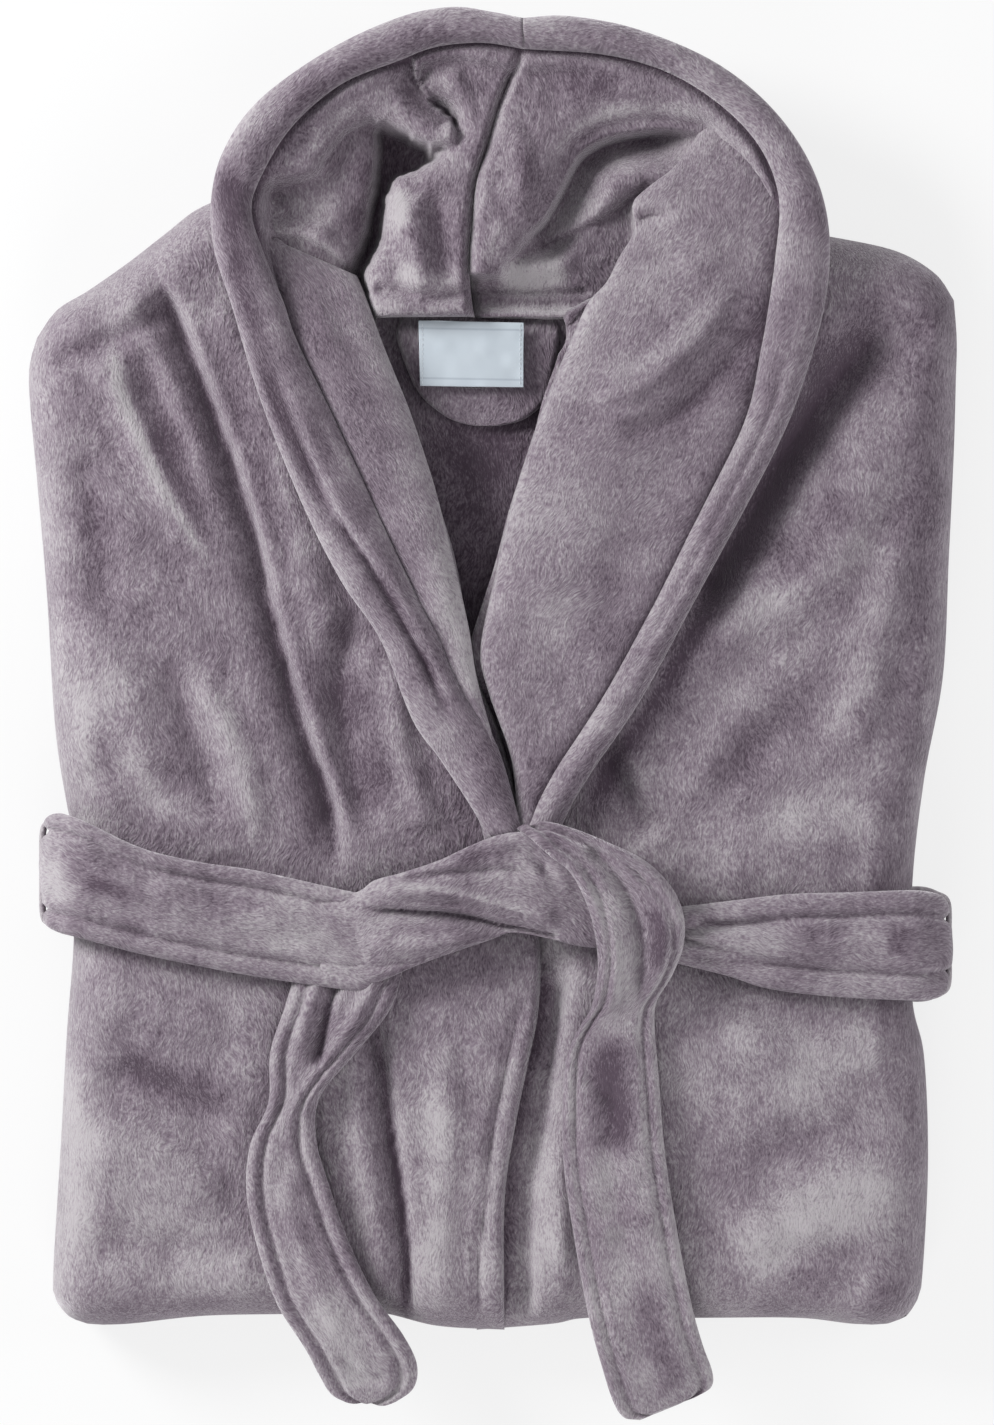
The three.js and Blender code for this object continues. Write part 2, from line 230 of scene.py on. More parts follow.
def closedSheet(name, top, low, across, along, material, nap=None):
    rows, columns = top.shape[:2]
    index = np.arange(rows * columns).reshape(rows, columns)
    under = index + rows * columns
    rim = [quadsOf(np.stack([a, b])) for a, b in (
        (under[0], index[0]), (index[-1], under[-1]), (index[:, 0], under[:, 0]),
        (under[:, -1], index[:, -1]))]
    quads = np.vstack([quadsOf(index), quadsOf(under)[:, ::-1]] + rim)
    verts = np.vstack([top.reshape(-1, 3), low.reshape(-1, 3)])
    uvs = np.column_stack([across.ravel(), along.ravel()])
    napsAndPaintedLight = None if nap is None else np.concatenate([nap.ravel(), nap.ravel()])
    return finishMesh(name, verts, quads, np.vstack([uvs, uvs]), material, napsAndPaintedLight)


def spaced(length, step, rimA, rimB):  # shares of a length, closer together where an edge is rounded
    middle = np.linspace(rimA, length - rimB, max(3, int((length - rimA - rimB) / step) + 2))
    turn = 1 - np.cos(np.linspace(0, np.pi / 2, 6))[:-1]
    first = rimA * turn if rimA > 0 else []
    last = (length - rimB * turn)[::-1] if rimB > 0 else []
    return np.concatenate([first, middle, last]) / length


def strip(name, edgeA, edgeB, plan, material):
    step, rim = plan["step"], plan["rim"]
    roundA, roundB, roundStart, roundEnd = (rim * r for r in plan.get("round", (1, 1, 1, 1)))
    fine = 400
    lineA, lineB = smoothLine(edgeA, fine), smoothLine(edgeB, fine)
    middle = (lineA + lineB) / 2
    length = np.linalg.norm(np.diff(middle, axis=0), axis=1).sum()
    width = np.linalg.norm(lineB - lineA, axis=1).mean()
    v = spaced(length, step, roundStart, roundEnd)
    u = spaced(width, step, min(roundA, 0.45 * width), min(roundB, 0.45 * width))
    a, b = pointsAt(lineA, v), pointsAt(lineB, v)
    spot = a[:, None] * (1 - u)[None, :, None] + b[:, None] * u[None, :, None]
    widths = np.linalg.norm(b - a, axis=1)[:, None]
    fromA, fromB = u[None] * widths, (1 - u)[None] * widths
    fromStart = np.broadcast_to(v[:, None] * length, fromA.shape)
    fromEnd = length - fromStart
    edge = np.ones(fromA.shape)
    for away, reach in ((fromA, roundA), (fromB, roundB)):
        if reach > 0:
            edge = edge * roundOff(away, np.minimum(reach, widths * 0.5))
    for away, reach in ((fromStart, roundStart), (fromEnd, roundEnd)):
        if reach > 0:
            edge = edge * roundOff(away, reach)
    ahead = np.gradient(spot, axis=0)
    aside = np.gradient(spot, axis=1)
    up = np.cross(aside, ahead)
    up /= np.maximum(np.linalg.norm(up, axis=2, keepdims=True), 1e-12)
    if up[:, :, 2].mean() * plan.get("up", 1) < 0:
        up = -up
    grid = {"x": spot[:, :, 0], "y": spot[:, :, 1], "z": spot[:, :, 2], "fromA": fromA, "fromB": fromB,
            "fromStart": fromStart, "fromEnd": fromEnd, "widths": widths}
    relief = plan["relief"](grid) if "relief" in plan else 0
    half = (plan["thick"](grid) if callable(plan["thick"]) else plan["thick"]) / 2
    top = spot + up * ((half * edge + relief * ease(edge))[:, :, None])
    low = spot - up * ((half * edge * plan.get("belly", 1.0))[:, :, None])
    across = (u[None] - 0.5) * widths
    # painted light: the strokes paint the pile lighter or darker, partly its own nap and partly painted
    # highlights and painted shade
    nap = foldHeight(grid["x"], grid["y"], plan.get("napAndLightStrokes", []))
    return closedSheet(name, top, low, across, fromStart, material, nap)


# ---- shader maths ----
class Sock:
    def __init__(self, tree, socket):
        self.tree, self.socket = tree, socket

    def math(self, kind, other=None, swap=False):
        first, second = (other, self) if swap else (self, other)
        return self.tree.node("ShaderNodeMath", {"operation": kind}, {0: first, 1: second})

    def __add__(self, other):
        return self.math("ADD", other)

    def __radd__(self, other):
        return self.math("ADD", other, swap=True)

    def __sub__(self, other):
        return self.math("SUBTRACT", other)

    def __rsub__(self, other):
        return self.math("SUBTRACT", other, swap=True)

    def __mul__(self, other):
        return self.math("MULTIPLY", other)

    def __rmul__(self, other):
        return self.math("MULTIPLY", other, swap=True)


class Shader:
    def __init__(self, name):
        self.material = bpy.data.materials.new(name)
        self.material.use_nodes = True
        self.nodes = self.material.node_tree.nodes
        self.links = self.material.node_tree.links
        self.nodes.clear()

    def node(self, kind, settings=None, inputs=None, output=0):
        node = self.nodes.new(kind)
        for key, value in (settings or {}).items():
            if key == "stops":
                ramp = node.color_ramp
                while len(ramp.elements) > 1:
                    ramp.elements.remove(ramp.elements[-1])
                ramp.elements[0].position, ramp.elements[0].color = value[0]
                for position, colour in value[1:]:
                    ramp.elements.new(position).color = colour
            else:
                setattr(node, key, value)
        for key, value in (inputs or {}).items():
            if value is None:
                continue
            if isinstance(value, Sock):
                self.links.new(value.socket, node.inputs[key])
            else:
                node.inputs[key].default_value = value
        return Sock(self, node.outputs[output]) if len(node.outputs) > output else None

    def mix(self, share, a, b, kind="MIX"):
        node = self.nodes.new("ShaderNodeMix")
        node.data_type, node.blend_type = "RGBA", kind
        for socket, value in ((node.inputs[0], share), (node.inputs[6], a), (node.inputs[7], b)):
            if isinstance(value, Sock):
                self.links.new(value.socket, socket)
            else:
                socket.default_value = value
        return Sock(self, node.outputs[2])

    def spot(self):  # where a point lies on the part
        return self.node("ShaderNodeTexCoord", {}, {}, 3)

    def noise(self, place, scale, detail, roughness=0.5, output=0):
        return self.node("ShaderNodeTexNoise", {}, {"Vector": place, "Scale": scale, "Detail": detail,
                                                    "Roughness": roughness}, output)

    def bump(self, strength, height):
        return self.node("ShaderNodeBump", {}, {"Strength": strength, "Distance": 1.0, "Height": height})

    def vector(self, kind, a, b):
        return self.node("ShaderNodeVectorMath", {"operation": kind}, {0: a, 1: b})

    def spread(self, value, low, high, toLow=0.0, toHigh=1.0):
        return self.node("ShaderNodeMapRange", {"clamp": True},
                         {0: value, 1: low, 2: high, 3: toLow, 4: toHigh})

    def finish(self, inputs):
        surface = self.node("ShaderNodeBsdfPrincipled", {}, inputs)
        self.node("ShaderNodeOutputMaterial", {}, {"Surface": surface})
        return self.material


def colour(red, green, blue):
    return (red, green, blue, 1.0)


# brushed plush: short pile that lies along the cloth, in tufts, with paths brushed light and dark
plushLook = {
    "root": colour(0.066, 0.044, 0.064),
    "mid": colour(0.182, 0.146, 0.178),
    "tip": colour(0.36, 0.334, 0.35),
    "tuft": (0.7 * mm, 2.3 * mm),
    "lock": (2.0 * mm, 5.6 * mm),
    "pileHeight": 0.8 * mm,
    "lockHeight": 1.0 * mm,
}


def plush(name, patches, alongCloth=True):
    s = Shader(name)
    bodyPlace = s.spot()
    place = s.node("ShaderNodeUVMap", {"uv_map": "cloth"}) if alongCloth else bodyPlace
    swirl = s.noise(bodyPlace, 26.0, 2.0, output=1)
    drift = s.vector("MULTIPLY", s.vector("SUBTRACT", swirl, (0.5, 0.5, 0.5)), (0.022, 0.006, 0.0))
    lying = s.vector("ADD", place, drift)

    def streaks(size, seed, detail):
        stretched = s.vector("MULTIPLY", lying, (1 / size[0], 1 / size[1], 1 / size[0]))
        moved = s.vector("ADD", stretched, (seed, seed * 1.7, 0.0))
        return s.noise(moved, 1.0, detail, 0.6)

    pile = streaks(plushLook["tuft"], 3.1, 2.0)
    locks = streaks(plushLook["lock"], 9.7, 1.0)
    paths = s.spread(s.noise(bodyPlace, 13.0, 2.0), 0.34, 0.66)
    marks = s.spread(s.noise(bodyPlace, 42.0, 2.0, 0.55), 0.36, 0.64)
    # painted light and shade: the attribute carries painted highlights and painted shade along with the
    # pile's own nap
    nap = s.node("ShaderNodeAttribute", {"attribute_name": "nap"}, {}, 2)
    # painted light: the pile is painted lighter towards the foot of the robe (lower y), on the side the
    # foot lamp stands
    paintedLightTowardsFoot = s.spread(s.node("ShaderNodeSeparateXYZ", {}, {0: bodyPlace}, 1), -0.02, -0.3, 0.0, 0.1)
    mottled = (paths - 0.5) * (0.17 * patches) + (marks - 0.5) * (0.15 * patches)
    shade = pile * 0.86 + locks * 0.34 + mottled + nap * 0.2 + paintedLightTowardsFoot - 0.115
    tone = s.node("ShaderNodeValToRGB", {"stops": [
        (0.22, plushLook["root"]), (0.5, plushLook["mid"]), (0.82, plushLook["tip"])]}, {0: shade})
    height = pile * plushLook["pileHeight"] + locks * plushLook["lockHeight"]
    bump = s.bump(0.9, height)
    return s.finish({
        "Base Color": tone, "Roughness": 0.92, "Specular IOR Level": 0.18, "Normal": bump,
        "Sheen Weight": 0.5, "Sheen Roughness": 0.5, "Sheen Tint": colour(0.95, 0.92, 0.95),
    })


def satin(name):
    s = Shader(name)
    place = s.node("ShaderNodeUVMap", {"uv_map": "cloth"})
    fromMiddle = s.node("ShaderNodeSeparateXYZ", {}, {0: place}).math("ABSOLUTE")
    threads = {"Vector": place, "Scale": 900.0, "Distortion": 1.0, "Detail": 1.0}
    warp, weft = [s.node("ShaderNodeTexWave", {"wave_type": "BANDS", "bands_direction": way}, threads)
                  for way in "XY"]
    weave = warp * 0.5 + weft * 0.5
    cloud = s.noise(place, 60.0, 3.0)
    halfTall = (labelHigh[1] - labelLow[1]) / 2
    # two fine woven lines along the top and the bottom of the label
    lineAway = (fromMiddle - (halfTall - 4.5 * mm)).math("ABSOLUTE")
    woven = s.spread(lineAway, 0.35 * mm, 0.6 * mm, 1.0, 0.0)
    base = s.mix(cloud, colour(0.36, 0.41, 0.46), colour(0.46, 0.51, 0.55))
    thread = s.mix(weave * 0.3, base, colour(0.6, 0.64, 0.68))
    tone = s.mix(woven * 0.4, thread, colour(0.22, 0.25, 0.3))
    bump = s.bump(0.35, weave * (0.06 * mm))
    return s.finish({"Base Color": tone, "Roughness": 0.42, "Specular IOR Level": 0.5, "Normal": bump,
                     "Sheen Weight": 0.2, "Sheen Roughness": 0.3})


def tapeCloth(name):
    s = Shader(name)
    place = s.node("ShaderNodeUVMap", {"uv_map": "cloth"})
    twill = s.node("ShaderNodeTexWave", {"wave_type": "BANDS", "bands_direction": "DIAGONAL"},
                   {"Vector": place, "Scale": 420.0, "Distortion": 0.4})
    tone = s.mix(twill, colour(0.06, 0.05, 0.06), colour(0.16, 0.14, 0.16))
    bump = s.bump(0.5, twill * (0.12 * mm))
    return s.finish({"Base Color": tone, "Roughness": 0.75, "Normal": bump, "Sheen Weight": 0.2})


bodyPlush = plush("brushed_plush", 0.75, alongCloth=False)
trimPlush = plush("belt_and_band_plush", 0.9)
liningPlush = plush("lapel_and_hood_plush", 0.7)
labelSatin = satin("label_satin")
loopTape = tapeCloth("loop_tape")
print("materials ready")


def raised(line, heights):  # a flat line with its heights, spread evenly over its length
    flat = smoothLine(line, 200)
    z = np.interp(np.linspace(0, 1, 200), np.linspace(0, 1, len(heights)), heights)
    return np.column_stack([flat, z])


# ---- outlines that neighbours share, in millimetres, turned into metres ----
frontEdge = metres((6, -310), (6, -245), (11, -208), (17, -178), (23, -148), (24, -118), (21, -85),
                   (15, -52), (4, -10), (-9, 25))
rightNeck = metres((-9, 25), (-19, 80), (-33, 122), (-47, 158), (-60, 188), (-72, 203), (-117, 250))
leftNeck = metres((-9, 25), (1, 73), (9, 103), (20, 136), (26, 158), (36, 183), (48, 203), (136, 234))
rightBandSeam = metres((17, -62), (13, -50), (2, -14), (-14, 12), (-26, 38), (-46, 78), (-76, 143),
                       (-97, 186), (-104, 206), (-113, 228), (-120, 250), (-117, 266), (-101, 293),
                       (-76, 315), (-47, 327), (-28, 334), (-5, 336), (15, 333))
rightBandEdge = metres((-4, -62), (-8, -50), (-26, -22), (-40, -2), (-56, 38), (-76, 68), (-96, 108),
                       (-116, 158), (-130, 204), (-139, 233), (-140.5, 258), (-134, 283), (-116, 308),
                       (-81, 333), (-46, 349), (-20, 354), (0, 351.5), (15, 348.5))
leftBandSeam = metres((12, -66), (22, -44), (32, -26), (54, 8), (79, 53), (104, 103), (126, 148),
                      (134, 183), (138, 206), (141, 228), (143, 258), (134, 283), (115, 304), (88, 321),
                      (56, 330), (15, 333))
leftBandEdge = metres((28, -74), (36, -52), (49, -29), (74, 8), (104, 63), (139, 128), (154, 163),
                      (166, 206), (168, 243), (159, 275), (139, 304), (110, 327), (72, 343), (38, 349.5),
                      (15, 348.5))


# ---- shells: a top and an underside joined round three sides, with a real cloth thickness ----
def patch(inner, outer, first, last, u, v):
    i, o = [pointsAt(smoothLine(line, 500), v)[:, None] for line in (inner, outer)]
    f, l = [pointsAt(smoothLine(line, 500), u)[None] for line in (first, last)]
    us, vs = u[None, :, None], v[:, None, None]
    corners = ((1 - us) * (1 - vs) * i[0, 0] + us * (1 - vs) * o[0, 0]
               + (1 - us) * vs * i[-1, 0] + us * vs * o[-1, 0])
    spot = (1 - us) * i + us * o + (1 - vs) * f + vs * l - corners
    return spot[:, :, 0], spot[:, :, 1]


def shell(name, top, low, thickness, material, nap=None):
    rows, columns = top.shape[:2]
    sheet = np.concatenate([top, low[:, ::-1]], 1)
    index = np.arange(rows * columns * 2).reshape(rows, columns * 2)
    uvs = sheet[:, :, :2].reshape(-1, 2)
    napsAndPaintedLight = None if nap is None else np.concatenate([nap, np.zeros(low.shape[:2])], 1)
    piece = finishMesh(name, sheet.reshape(-1, 3), quadsOf(index), uvs, material, napsAndPaintedLight)
    wall = piece.modifiers.new("clothThickness", "SOLIDIFY")
    wall.thickness = thickness
    wall.offset = -1.0
    return applied(piece)


fronts = {"step": 2.5 * mm, "cloth": 5 * mm, "crease": 21 * mm, "round": 25 * mm, "foot": 10 * mm,
          "wide": 210 * mm, "tall": 540 * mm, "fade": 20 * mm, "paintedLightRise": 14 * mm}
crown = 2.5 * mm  # the fronts lie this much under the top of their block, so that folds can stand up


def front(name, node, inner, skirt, outer, bottom, shoulder, folds, napAndLightStrokes, seed, dip):
    u = spaced(fronts["wide"], fronts["step"], 0, fronts["round"])
    v = spaced(fronts["tall"], fronts["step"], fronts["round"], fronts["round"])
    closing = np.vstack([smoothLine(bottom, 120), smoothLine(outer, 220), smoothLine(shoulder, 90)[::-1]])

    def edgeAway(x, y):
        away = besideLine(x, y, closing)[0]
        away[0] = away[-1] = away[:, -1] = 0
        return away

    x, y = patch(inner, outer, bottom, shoulder, u, v)
    away = edgeAway(x, y)
    hem = besideLine(x, y, smoothLine(inner, 200))[0]
    relief = (foldHeight(x, y, folds) + tumbled(x, y, seed)) * ease(away / fronts["fade"])
    level = frontTop - crown - dip(y, hem)
    z = fronts["crease"] + (level - fronts["crease"]) * roundOff(away, fronts["round"]) + relief
    top = np.stack([x, y, z], -1)
    # painted light and shade: raised folds are painted lighter and hollows darker, following the relief
    nap = foldHeight(x, y, napAndLightStrokes) + relief / fronts["paintedLightRise"]
    x, y = patch(skirt, outer, bottom, shoulder, u, v)
    z = fronts["crease"] * (1 - roundOff(edgeAway(x, y), fronts["foot"]))
    low = np.stack([x, y, z], -1)
    piece = shell(name, top, low, fronts["cloth"], bodyPlush, nap)
    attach(piece, "robe")
    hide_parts(node)
    return piece


def rightDip(y, hem):  # the same thin hem all the way down
    return 3.5 * mm * (1 - roundOff(hem, 5 * mm))


def leftDip(y, hem):  # below the waist it slips under the other front
    below = ease((30 * mm - y) / (30 * mm))
    tucked = 11 * mm * (1 - ease((hem - 12 * mm) / (22 * mm)))
    return below * tucked + (1 - below) * 4 * mm * (1 - roundOff(hem, 7 * mm))


rightFolds = foldLines(
    # the long pleat from the shoulder down to the belt: full on its outer side, then a sharp drop
    ([(-184, 222), (-176, 200), (-160, 172), (-146, 134), (-130, 92), (-119, 46), (-104, -10), (-92, -44),
      (-86, -84)], 4.5, 34, 20, 0.1, 0.06, 0.15),
    ([(-168, 222), (-155, 192), (-135, 140), (-121, 97), (-110, 50), (-94, -8), (-82, -42), (-75, -84)],
     -14, 7, 30, 0.75, 0.08, 0.12),
    ([(-140, 214), (-126, 180), (-110, 140), (-98, 100), (-86, 50), (-72, 0)], 4, 16, 14, 0.1, 0.1, 0.3),
    ([(-206, 190), (-192, 168), (-176, 131), (-158, 98), (-138, 64)], 4.5, 16, 12, 0.3, 0.2, 0.3),
    ([(-180, 196), (-170, 168), (-157, 138), (-143, 104)], -5, 10, 16, 0.3, 0.3, 0.4),
    ([(-216, 150), (-204, 120), (-196, 80), (-194, 30)], -4.5, 16, 20, 0.1, 0.3, 0.4),
    ([(-206, 70), (-188, 30), (-174, -20), (-168, -50)], 4.5, 18, 22, 0.1, 0.4, 0.3),
    ([(-150, 30), (-136, 0), (-124, -30), (-116, -66)], 4, 14, 12, 0.2, 0.3, 0.2),
    ([(-168, 40), (-154, 4), (-142, -30), (-136, -60)], -4, 14, 12, 0.2, 0.3, 0.2),
    ([(-226, 176), (-200, 184), (-176, 196), (-160, 214)], -3.5, 10, 12, 0.2, 0.2, 0.2),
    # the overlap pulls in under the belt
    ([(-59, -146), (-51, -205), (-44, -255), (-42, -279), (-44, -308)], -10, 7, 18, 0.85, 0.08, 0.01),
    ([(-72, -150), (-64, -205), (-56, -255), (-54, -304)], 3.5, 16, 16, 0.1, 0.2, 0.05),
    ([(-28, -150), (-22, -200), (-24, -250), (-24, -300)], 3, 12, 14, 0.0, 0.2, 0.05),
    ([(15, -141), (9, -166), (0, -206), (-3, -240), (-7, -270), (-7, -300)],
     -3.6, 3.6, 3.6, 0.7, 0.02, 0.02),
    # soft hollows and fullness round the belt
    ([(-212, -82), (-160, -92), (-100, -106), (-40, -100), (20, -88)], -5, 34, 34, 0.0, 0.02, 0.02),
    ([(-205, -24), (-160, -38), (-130, -44)], -3.5, 22, 16, 0.0, 0.1, 0.3),
    ([(-205, -140), (-170, -150), (-130, -160)], 3.5, 16, 20, 0.0, 0.2, 0.3),
    ([(-200, -176), (-160, -190), (-128, -214)], -5, 16, 24, 0.1, 0.2, 0.3),
    ([(-206, -214), (-170, -226), (-130, -250)], 4, 20, 20, 0.0, 0.2, 0.3),
    ([(-204, -262), (-160, -270), (-120, -276)], -4.5, 18, 18, 0.0, 0.2, 0.3),
    ([(-66, 60), (-76, 20), (-70, -30), (-58, -62)], -6, 16, 14, 0.3, 0.2, 0.2),
    ([(-50, 36), (-48, 4), (-40, -34), (-32, -60)], 4, 12, 12, 0.2, 0.3, 0.1),
    ([(-96, -140), (-98, -190), (-92, -250)], -3, 16, 16, 0.0, 0.2, 0.2))
leftFolds = foldLines(
    # the broad valley that runs down from the shoulder to the band
    ([(204, 200), (176, 172), (146, 132), (118, 84), (94, 38)], -13, 24, 24, 0.3, 0.12, 0.2),
    ([(222, 164), (196, 128), (166, 74), (132, 50), (84, 26)], 4.5, 22, 34, 0.1, 0.2, 0.2),
    ([(210, 100), (200, 60), (186, 20), (176, -30)], 4, 18, 20, 0.1, 0.3, 0.3),
    ([(224, 120), (214, 70), (206, 20), (200, -40)], -4, 12, 14, 0.1, 0.3, 0.3),
    ([(200, 40), (170, 8), (130, -16), (90, -34)], -2.5, 22, 24, 0.1, 0.3, 0.3),
    ([(150, 20), (120, -10), (92, -44)], 3.5, 18, 18, 0.0, 0.3, 0.3),
    ([(52, 0), (62, -30), (84, -64)], -6, 12, 18, 0.3, 0.2, 0.2),
    ([(206, -52), (160, -58), (110, -62)], 3.5, 20, 14, 0.0, 0.2, 0.3),
    ([(40, -96), (100, -108), (150, -114), (212, -116)], -5, 34, 34, 0.0, 0.02, 0.02),
    ([(200, -168), (150, -168), (110, -156)], 4, 20, 18, 0.0, 0.1, 0.2),
    ([(206, -206), (160, -214), (116, -236)], -4.5, 26, 24, 0.0, 0.3, 0.3),
    ([(34, -130), (28, -190), (20, -240), (18, -302)], -6.5, 6, 18, 0.5, 0.05, 0.05),
    ([(206, -258), (150, -254), (112, -266)], 4, 20, 20, 0.0, 0.3, 0.3),
    ([(126, -290), (150, -292), (196, -286)], -3, 14, 14, 0.0, 0.3, 0.3),
    ([(44, -176), (34, -230), (36, -296)], 4, 10, 10, 0.1, 0.3, 0.3),
    ([(226, 190), (206, 196), (184, 212)], -3.5, 12, 12, 0.1, 0.3, 0.3))
# places painted lighter (above 0) or darker (below 0): partly the pile's own brushed nap, partly painted
# highlights on lit crests and painted shade in valleys and beside overlapping edges
rightNapAndLightStrokes = napAndLightStrokeLines(
    ([(-190, 190), (-186, 164), (-172, 131), (-155, 98), (-139, 72)], 2.3, 6, 8, 0.5, 0.15, 0.2),
    ([(-208, 40), (-203, -20), (-200, -76)], 0.8, 9, 8, 0.2, 0.3, 0.1),
    ([(-196, 176), (-188, 192), (-170, 206)], 0.7, 12, 12, 0.2, 0.3, 0.3),
    ([(-216, 120), (-212, 60), (-208, 0), (-206, -50)], -0.1, 14, 14, 0.1, 0.25, 0.15),
    ([(-108, 70), (-100, 30), (-92, -10)], -0.4, 14, 14, 0.1, 0.3, 0.3),
    ([(-208, 186), (-190, 184), (-176, 190)], -0.4, 14, 14, 0.0, 0.2, 0.2),
    ([(-190, -254), (-160, -262), (-120, -268)], 0.35, 20, 20, 0.0, 0.3, 0.3),
    ([(-141, 20), (-130, -10), (-121, -40), (-117, -66)], 0.8, 10, 10, 0.3, 0.3, 0.1),
    ([(-184, -10), (-174, -34), (-160, -52)], 0.6, 14, 12, 0.2, 0.3, 0.1),
    ([(-176, 160), (-164, 120), (-158, 90), (-150, 60)], -0.7, 20, 4, 0.1, 0.2, 0.4),
    ([(-206, 150), (-196, 110), (-186, 60), (-178, 20)], -0.5, 16, 20, 0.0, 0.3, 0.3),
    ([(-140, 208), (-124, 160), (-112, 110), (-96, 50)], -0.7, 12, 16, 0.1, 0.1, 0.3),
    ([(-210, -160), (-208, -220), (-206, -280)], 0.7, 14, 16, 0.1, 0.2, 0.2),
    ([(-188, -166), (-166, -180), (-142, -190), (-124, -198)], -1.3, 14, 16, 0.1, 0.2, 0.3),
    ([(-54, -140), (-50, -205), (-44, -255), (-42, -306)], -1.6, 2, 5, 0.3, 0.1, 0.02),
    ([(-190, -276), (-140, -284), (-90, -284)], 0.5, 20, 12, 0.0, 0.2, 0.2),
    ([(-30, -170), (-26, -220), (-30, -290)], 0.5, 12, 16, 0.0, 0.3, 0.1),
    ([(-70, 30), (-66, -10), (-56, -50)], -0.8, 14, 12, 0.2, 0.3, 0.1))
leftNapAndLightStrokes = napAndLightStrokeLines(
    ([(214, 190), (190, 172), (160, 134), (130, 88), (104, 44)], -0.8, 18, 16, 0.1, 0.2, 0.2),
    ([(226, 150), (206, 124), (178, 82), (150, 60), (110, 38)], 0.6, 14, 18, 0.2, 0.2, 0.2),
    ([(226, 200), (229, 160), (226, 110)], 0.7, 12, 12, 0.1, 0.2, 0.2),
    ([(231, 130), (225, 50), (217, -20)], 0.8, 11, 11, 0.1, 0.2, 0.2),
    ([(218, -20), (214, -50), (212, -84)], 0.8, 9, 9, 0.2, 0.3, 0.1),
    ([(44, -56), (58, -28), (84, 12), (113, 64), (148, 128), (164, 164)], -1.5, 6, 11, 0.2, 0.1, 0.1),
    ([(30, -116), (22, -160), (12, -210), (5, -300)], -1.3, 7, 8, 0.2, 0.1, 0.05),
    ([(190, 116), (164, 90), (140, 56)], -0.9, 24, 24, 0.0, 0.3, 0.3),
    ([(196, 60), (160, 20), (120, -20), (84, -50)], -0.4, 22, 20, 0.0, 0.3, 0.3),
    ([(208, -10), (170, -40), (120, -54)], 0.5, 20, 16, 0.1, 0.2, 0.3),
    ([(206, -160), (160, -180), (120, -200)], 0.5, 26, 26, 0.0, 0.2, 0.3),
    ([(206, -230), (160, -250), (120, -280)], 1.1, 24, 26, 0.0, 0.2, 0.2),
    ([(40, -150), (34, -200), (36, -260)], -0.4, 10, 14, 0.1, 0.2, 0.3))
front(
    "right_front", "right_front_panel",
    np.vstack([frontEdge, rightNeck[1:]]),
    metres((6, -310), (-8, -200), (-9, 0), (-30, 120), (-117, 250)),
    metres((-214, -303), (-220, -296), (-222, -284), (-218, -215), (-215, -160), (-211.5, -112),
           (-211.5, -62), (-215, -45), (-221, -5), (-225, 60), (-230, 118), (-233.5, 156), (-234, 176),
           (-230, 191)),
    metres((6, -310), (-28, -308), (-60, -301), (-100, -302), (-146, -303), (-184, -307), (-204, -307),
           (-214, -303)),
    metres((-117, 250), (-134, 260), (-149, 256), (-166, 243), (-184, 229), (-204, 215), (-220, 205),
           (-230, 191)),
    rightFolds, rightNapAndLightStrokes, 11, rightDip)
leftInner = np.vstack([frontEdge[:-1] - (14 * mm, 0), metres((-14, 22)), leftNeck[1:]])
front(
    "left_front", "left_front_panel", leftInner,
    metres((-8, -310), (-6, -200), (-6, 0), (30, 120), (136, 234)),
    metres((209, -303), (214, -296), (217, -284), (220, -225), (218, -172), (212, -142), (212, -86),
           (218, -32), (227.5, 20), (230.5, 80), (233, 133), (234, 168), (234.5, 190), (233, 210)),
    metres((-8, -310), (30, -307), (49, -304), (104, -304), (154, -304), (182, -307), (199, -307),
           (209, -303)),
    metres((136, 238), (158, 243), (182, 240), (206, 234), (224, 223), (233, 210)),
    leftFolds, leftNapAndLightStrokes, 23, leftDip)
print("fronts ready")


# ---- strips of doubled or stuffed plush ----
def place(piece, node, slotName, body="robe"):
    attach(piece, body)
    for n in [node] if isinstance(node, str) else node:
        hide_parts(n)
    return piece


def groove(away, at, depth, width=2.1 * mm):
    return -depth * np.exp(-((away - at) / width) ** 2)


def reliefOf(seed, much, *rows, extra=None):  # folds on a strip, over the uneven surface of pressed plush
    def relief(p):
        lift = foldHeight(p["x"], p["y"], foldLines(*rows))
        if extra:
            lift = lift + extra(p)
        return lift + tumbled(p["x"], p["y"], seed, much)
    return relief


lapels = {"step": 1.9 * mm, "rim": 13 * mm, "thick": 12 * mm, "belly": 0.4}


def lapel(name, node, edge, seam, heights, relief, ends, napAndLightStrokes):
    plan = {**lapels, "round": ends, "relief": relief, "napAndLightStrokes": napAndLightStrokes}
    piece = strip(name, raised(edge, heights), raised(seam, heights), plan, liningPlush)
    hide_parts(node)
    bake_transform(piece)
    return piece


rightLapelRelief = reliefOf(
    31, 0.8,
    ([(-20, 40), (-36, 90), (-58, 138), (-80, 190), (-92, 225)], 3.5, 20, 20, 0.0, 0.1, 0.2),
    ([(-84, 220), (-76, 196), (-66, 170)], -2.5, 10, 10, 0.3, 0.2, 0.4))

rightLapelNapAndLightStrokes = napAndLightStrokeLines(
    ([(-96, 232), (-84, 200), (-64, 156), (-44, 108)], -0.75, 20, 18, 0.1, 0.25, 0.4),
    ([(-38, 92), (-20, 46), (-8, 6)], 1.0, 16, 16, 0.1, 0.3, 0.1),
    ([(-104, 240), (-90, 238), (-76, 226)], 0.7, 8, 10, 0.2, 0.2, 0.2),
    ([(-74, 196), (-66, 186), (-58, 170)], 0.6, 8, 8, 0.1, 0.3, 0.3))

